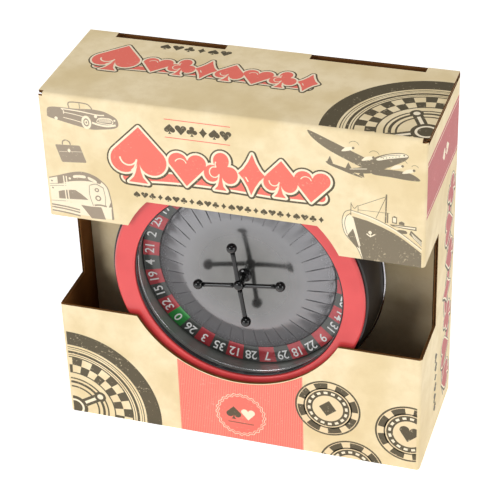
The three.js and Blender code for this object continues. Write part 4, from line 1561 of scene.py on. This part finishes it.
def scallop(radius, depth, waves):
    """A ring round the badge's centre with an evenly waved edge."""
    steps = waves * 8
    line = []
    for i in range(steps):
        angle = 2 * math.pi * i / steps
        reach = radius + depth * math.cos(2 * math.pi * waves * i / steps)
        line.append((badge[0] + reach * math.cos(angle), badge[1] + reach * math.sin(angle)))
    return line


tray_art.lay("coral", fill(scallop(15.6, 0.5, 24)))
tray_art.line("paper", 0.4, scallop(15.2, 0.5, 24), True)
tray_art.line("paper", 0.3, scallop(13.9, 0.45, 24), True)
tray_art.lay("dark", fill(moved(spade, (badge[0] - 4.4, badge[1] + 0.8), 9.4, 1)))
tray_art.lay("paper", fill(moved(heart, (badge[0] + 4.6, badge[1] + 0.8), 8.4, 1)))
tray_art.line("dark", 0.5, [(badge[0] - 8, badge[1] - 6.2), (badge[0] + 8, badge[1] - 6.2)])
roulette_art(tray_art, "dark", (-107, 3), 57)
chip_art(tray_art, (103.3, 25.6), 20.2, 1, 8)
chip_art(tray_art, (69, -6.8), 19.9, 2, 20)
chip_art(tray_art, (54.7, 34.7), 19.8, 3, 0)
tray_art.finish("tray", "carton")


# Print on the lid, the sides and the back: the same suits and wheel in the same inks. The sides have
# a band at the top and a tall sweep of suits that reads from below.

lid_art = Print(lid_panel, (-side_x, lid_front, side_x, lid_back))
lid_art.motif()
lid_title = [
    (0, (-81, 8), 31, 0.92, title_lean), (1, (-56.6, 4.6), 17, 1.0, title_lean),
    (2, (-41.4, 5.6), 19.5, 0.86, title_lean), (3, (-27.4, 6), 22, 0.8, title_lean),
    (0, (-13, 5.6), 19.5, 0.86, title_lean), (1, (2.6, 4.2), 17, 1.0, title_lean),
    (2, (18, 5), 19, 0.86, title_lean), (3, (32, 4.6), 20, 0.8, title_lean),
]
ribbon(lid_art, [(-89, -3.8), (-70, -1.4), (-30, 0), (5, -0.4), (33, -0.8)], 0.8)
suit_word(lid_art, lid_title, 0.85)
lid_art.motif()
suit_row(lid_art, "dark", -59, -23, 27.6, 6.2, 7.2)
roulette_art(lid_art, "dark", (107, -33), 57, 3)
lid_art.finish("lid", "lid")

for name, panel, sign in (("right_side", right_panel, 1), ("left_side", left_panel, -1)):
    def at(*points, sign=sign):
        return [(sign * y, z) for y, z in points]

    ends = sorted((sign * side_front, sign * side_back))
    upper_art = Print(panel, (ends[0], window_top, ends[1], side_top))
    upper_art.motif()
    upper_art.lay("rose", fill(at(*rectangle(side_front, 172, side_back, 207))))
    for level in (174.2, 204.8):
        upper_art.line("paper", 0.5, at((side_front, level), (side_back, level)))
    for place in range(2):
        upper_art.lay("paper", fill(moved(suits[place], at((2 + 9 * place, 189))[0], 7.5, 1, 90 * sign)))
    upper_art.finish(name + "_upper", "carton")
    lower_art = Print(panel, (ends[0], 0, ends[1], side_top))
    lower_art.motif()
    stem = curve(at((27, 10), (21, 30), (29, 54), (21, 80), (29, 104), (22, 128), (26, 158)), steps=12)
    for ink, width in (("dark", 11.6), ("paper", 9.2), ("rose", 6.6)):
        lower_art.line(ink, width, stem)
    for place in range(7):
        spot = at((25 + 2 * (-1) ** place, 20 + 22 * place))[0]
        outline = moved(suits[place % 4], spot, 19, 1.05, 90 * sign)
        lower_art.line("dark", 3.8, [(a, b - 0.5) for a, b in outline], True)
        lower_art.line("paper", 2.0, outline, True)
        lower_art.lay("rose", fill(outline))
    for place in range(6):
        lower_art.lay("dark", fill(moved(suits[place % 4], at((-2, 17 + 7.4 * place))[0], 6.6, 1, 90 * sign)))
    lower_art.finish(name + "_lower", "carton")

back_art = Print(back_panel, (-fold_x, 0, fold_x, back_high))
back_art.motif()
back_art.lay("coral", fill(rectangle(-fold_x, 150, fold_x, 196)))
for level in (153, 193):
    back_art.line("paper", 0.7, [(-fold_x, level), (fold_x, level)])
for place in range(7):
    back_art.lay("paper", fill(moved(suits[place % 4], (-81 + 27 * place, 173), 24, 1)))
suit_row(back_art, "dark", -86, 86, 139, 6.5, 8.6)
roulette_art(back_art, "dark", (0, 66), 52)
back_art.finish("back", "carton")
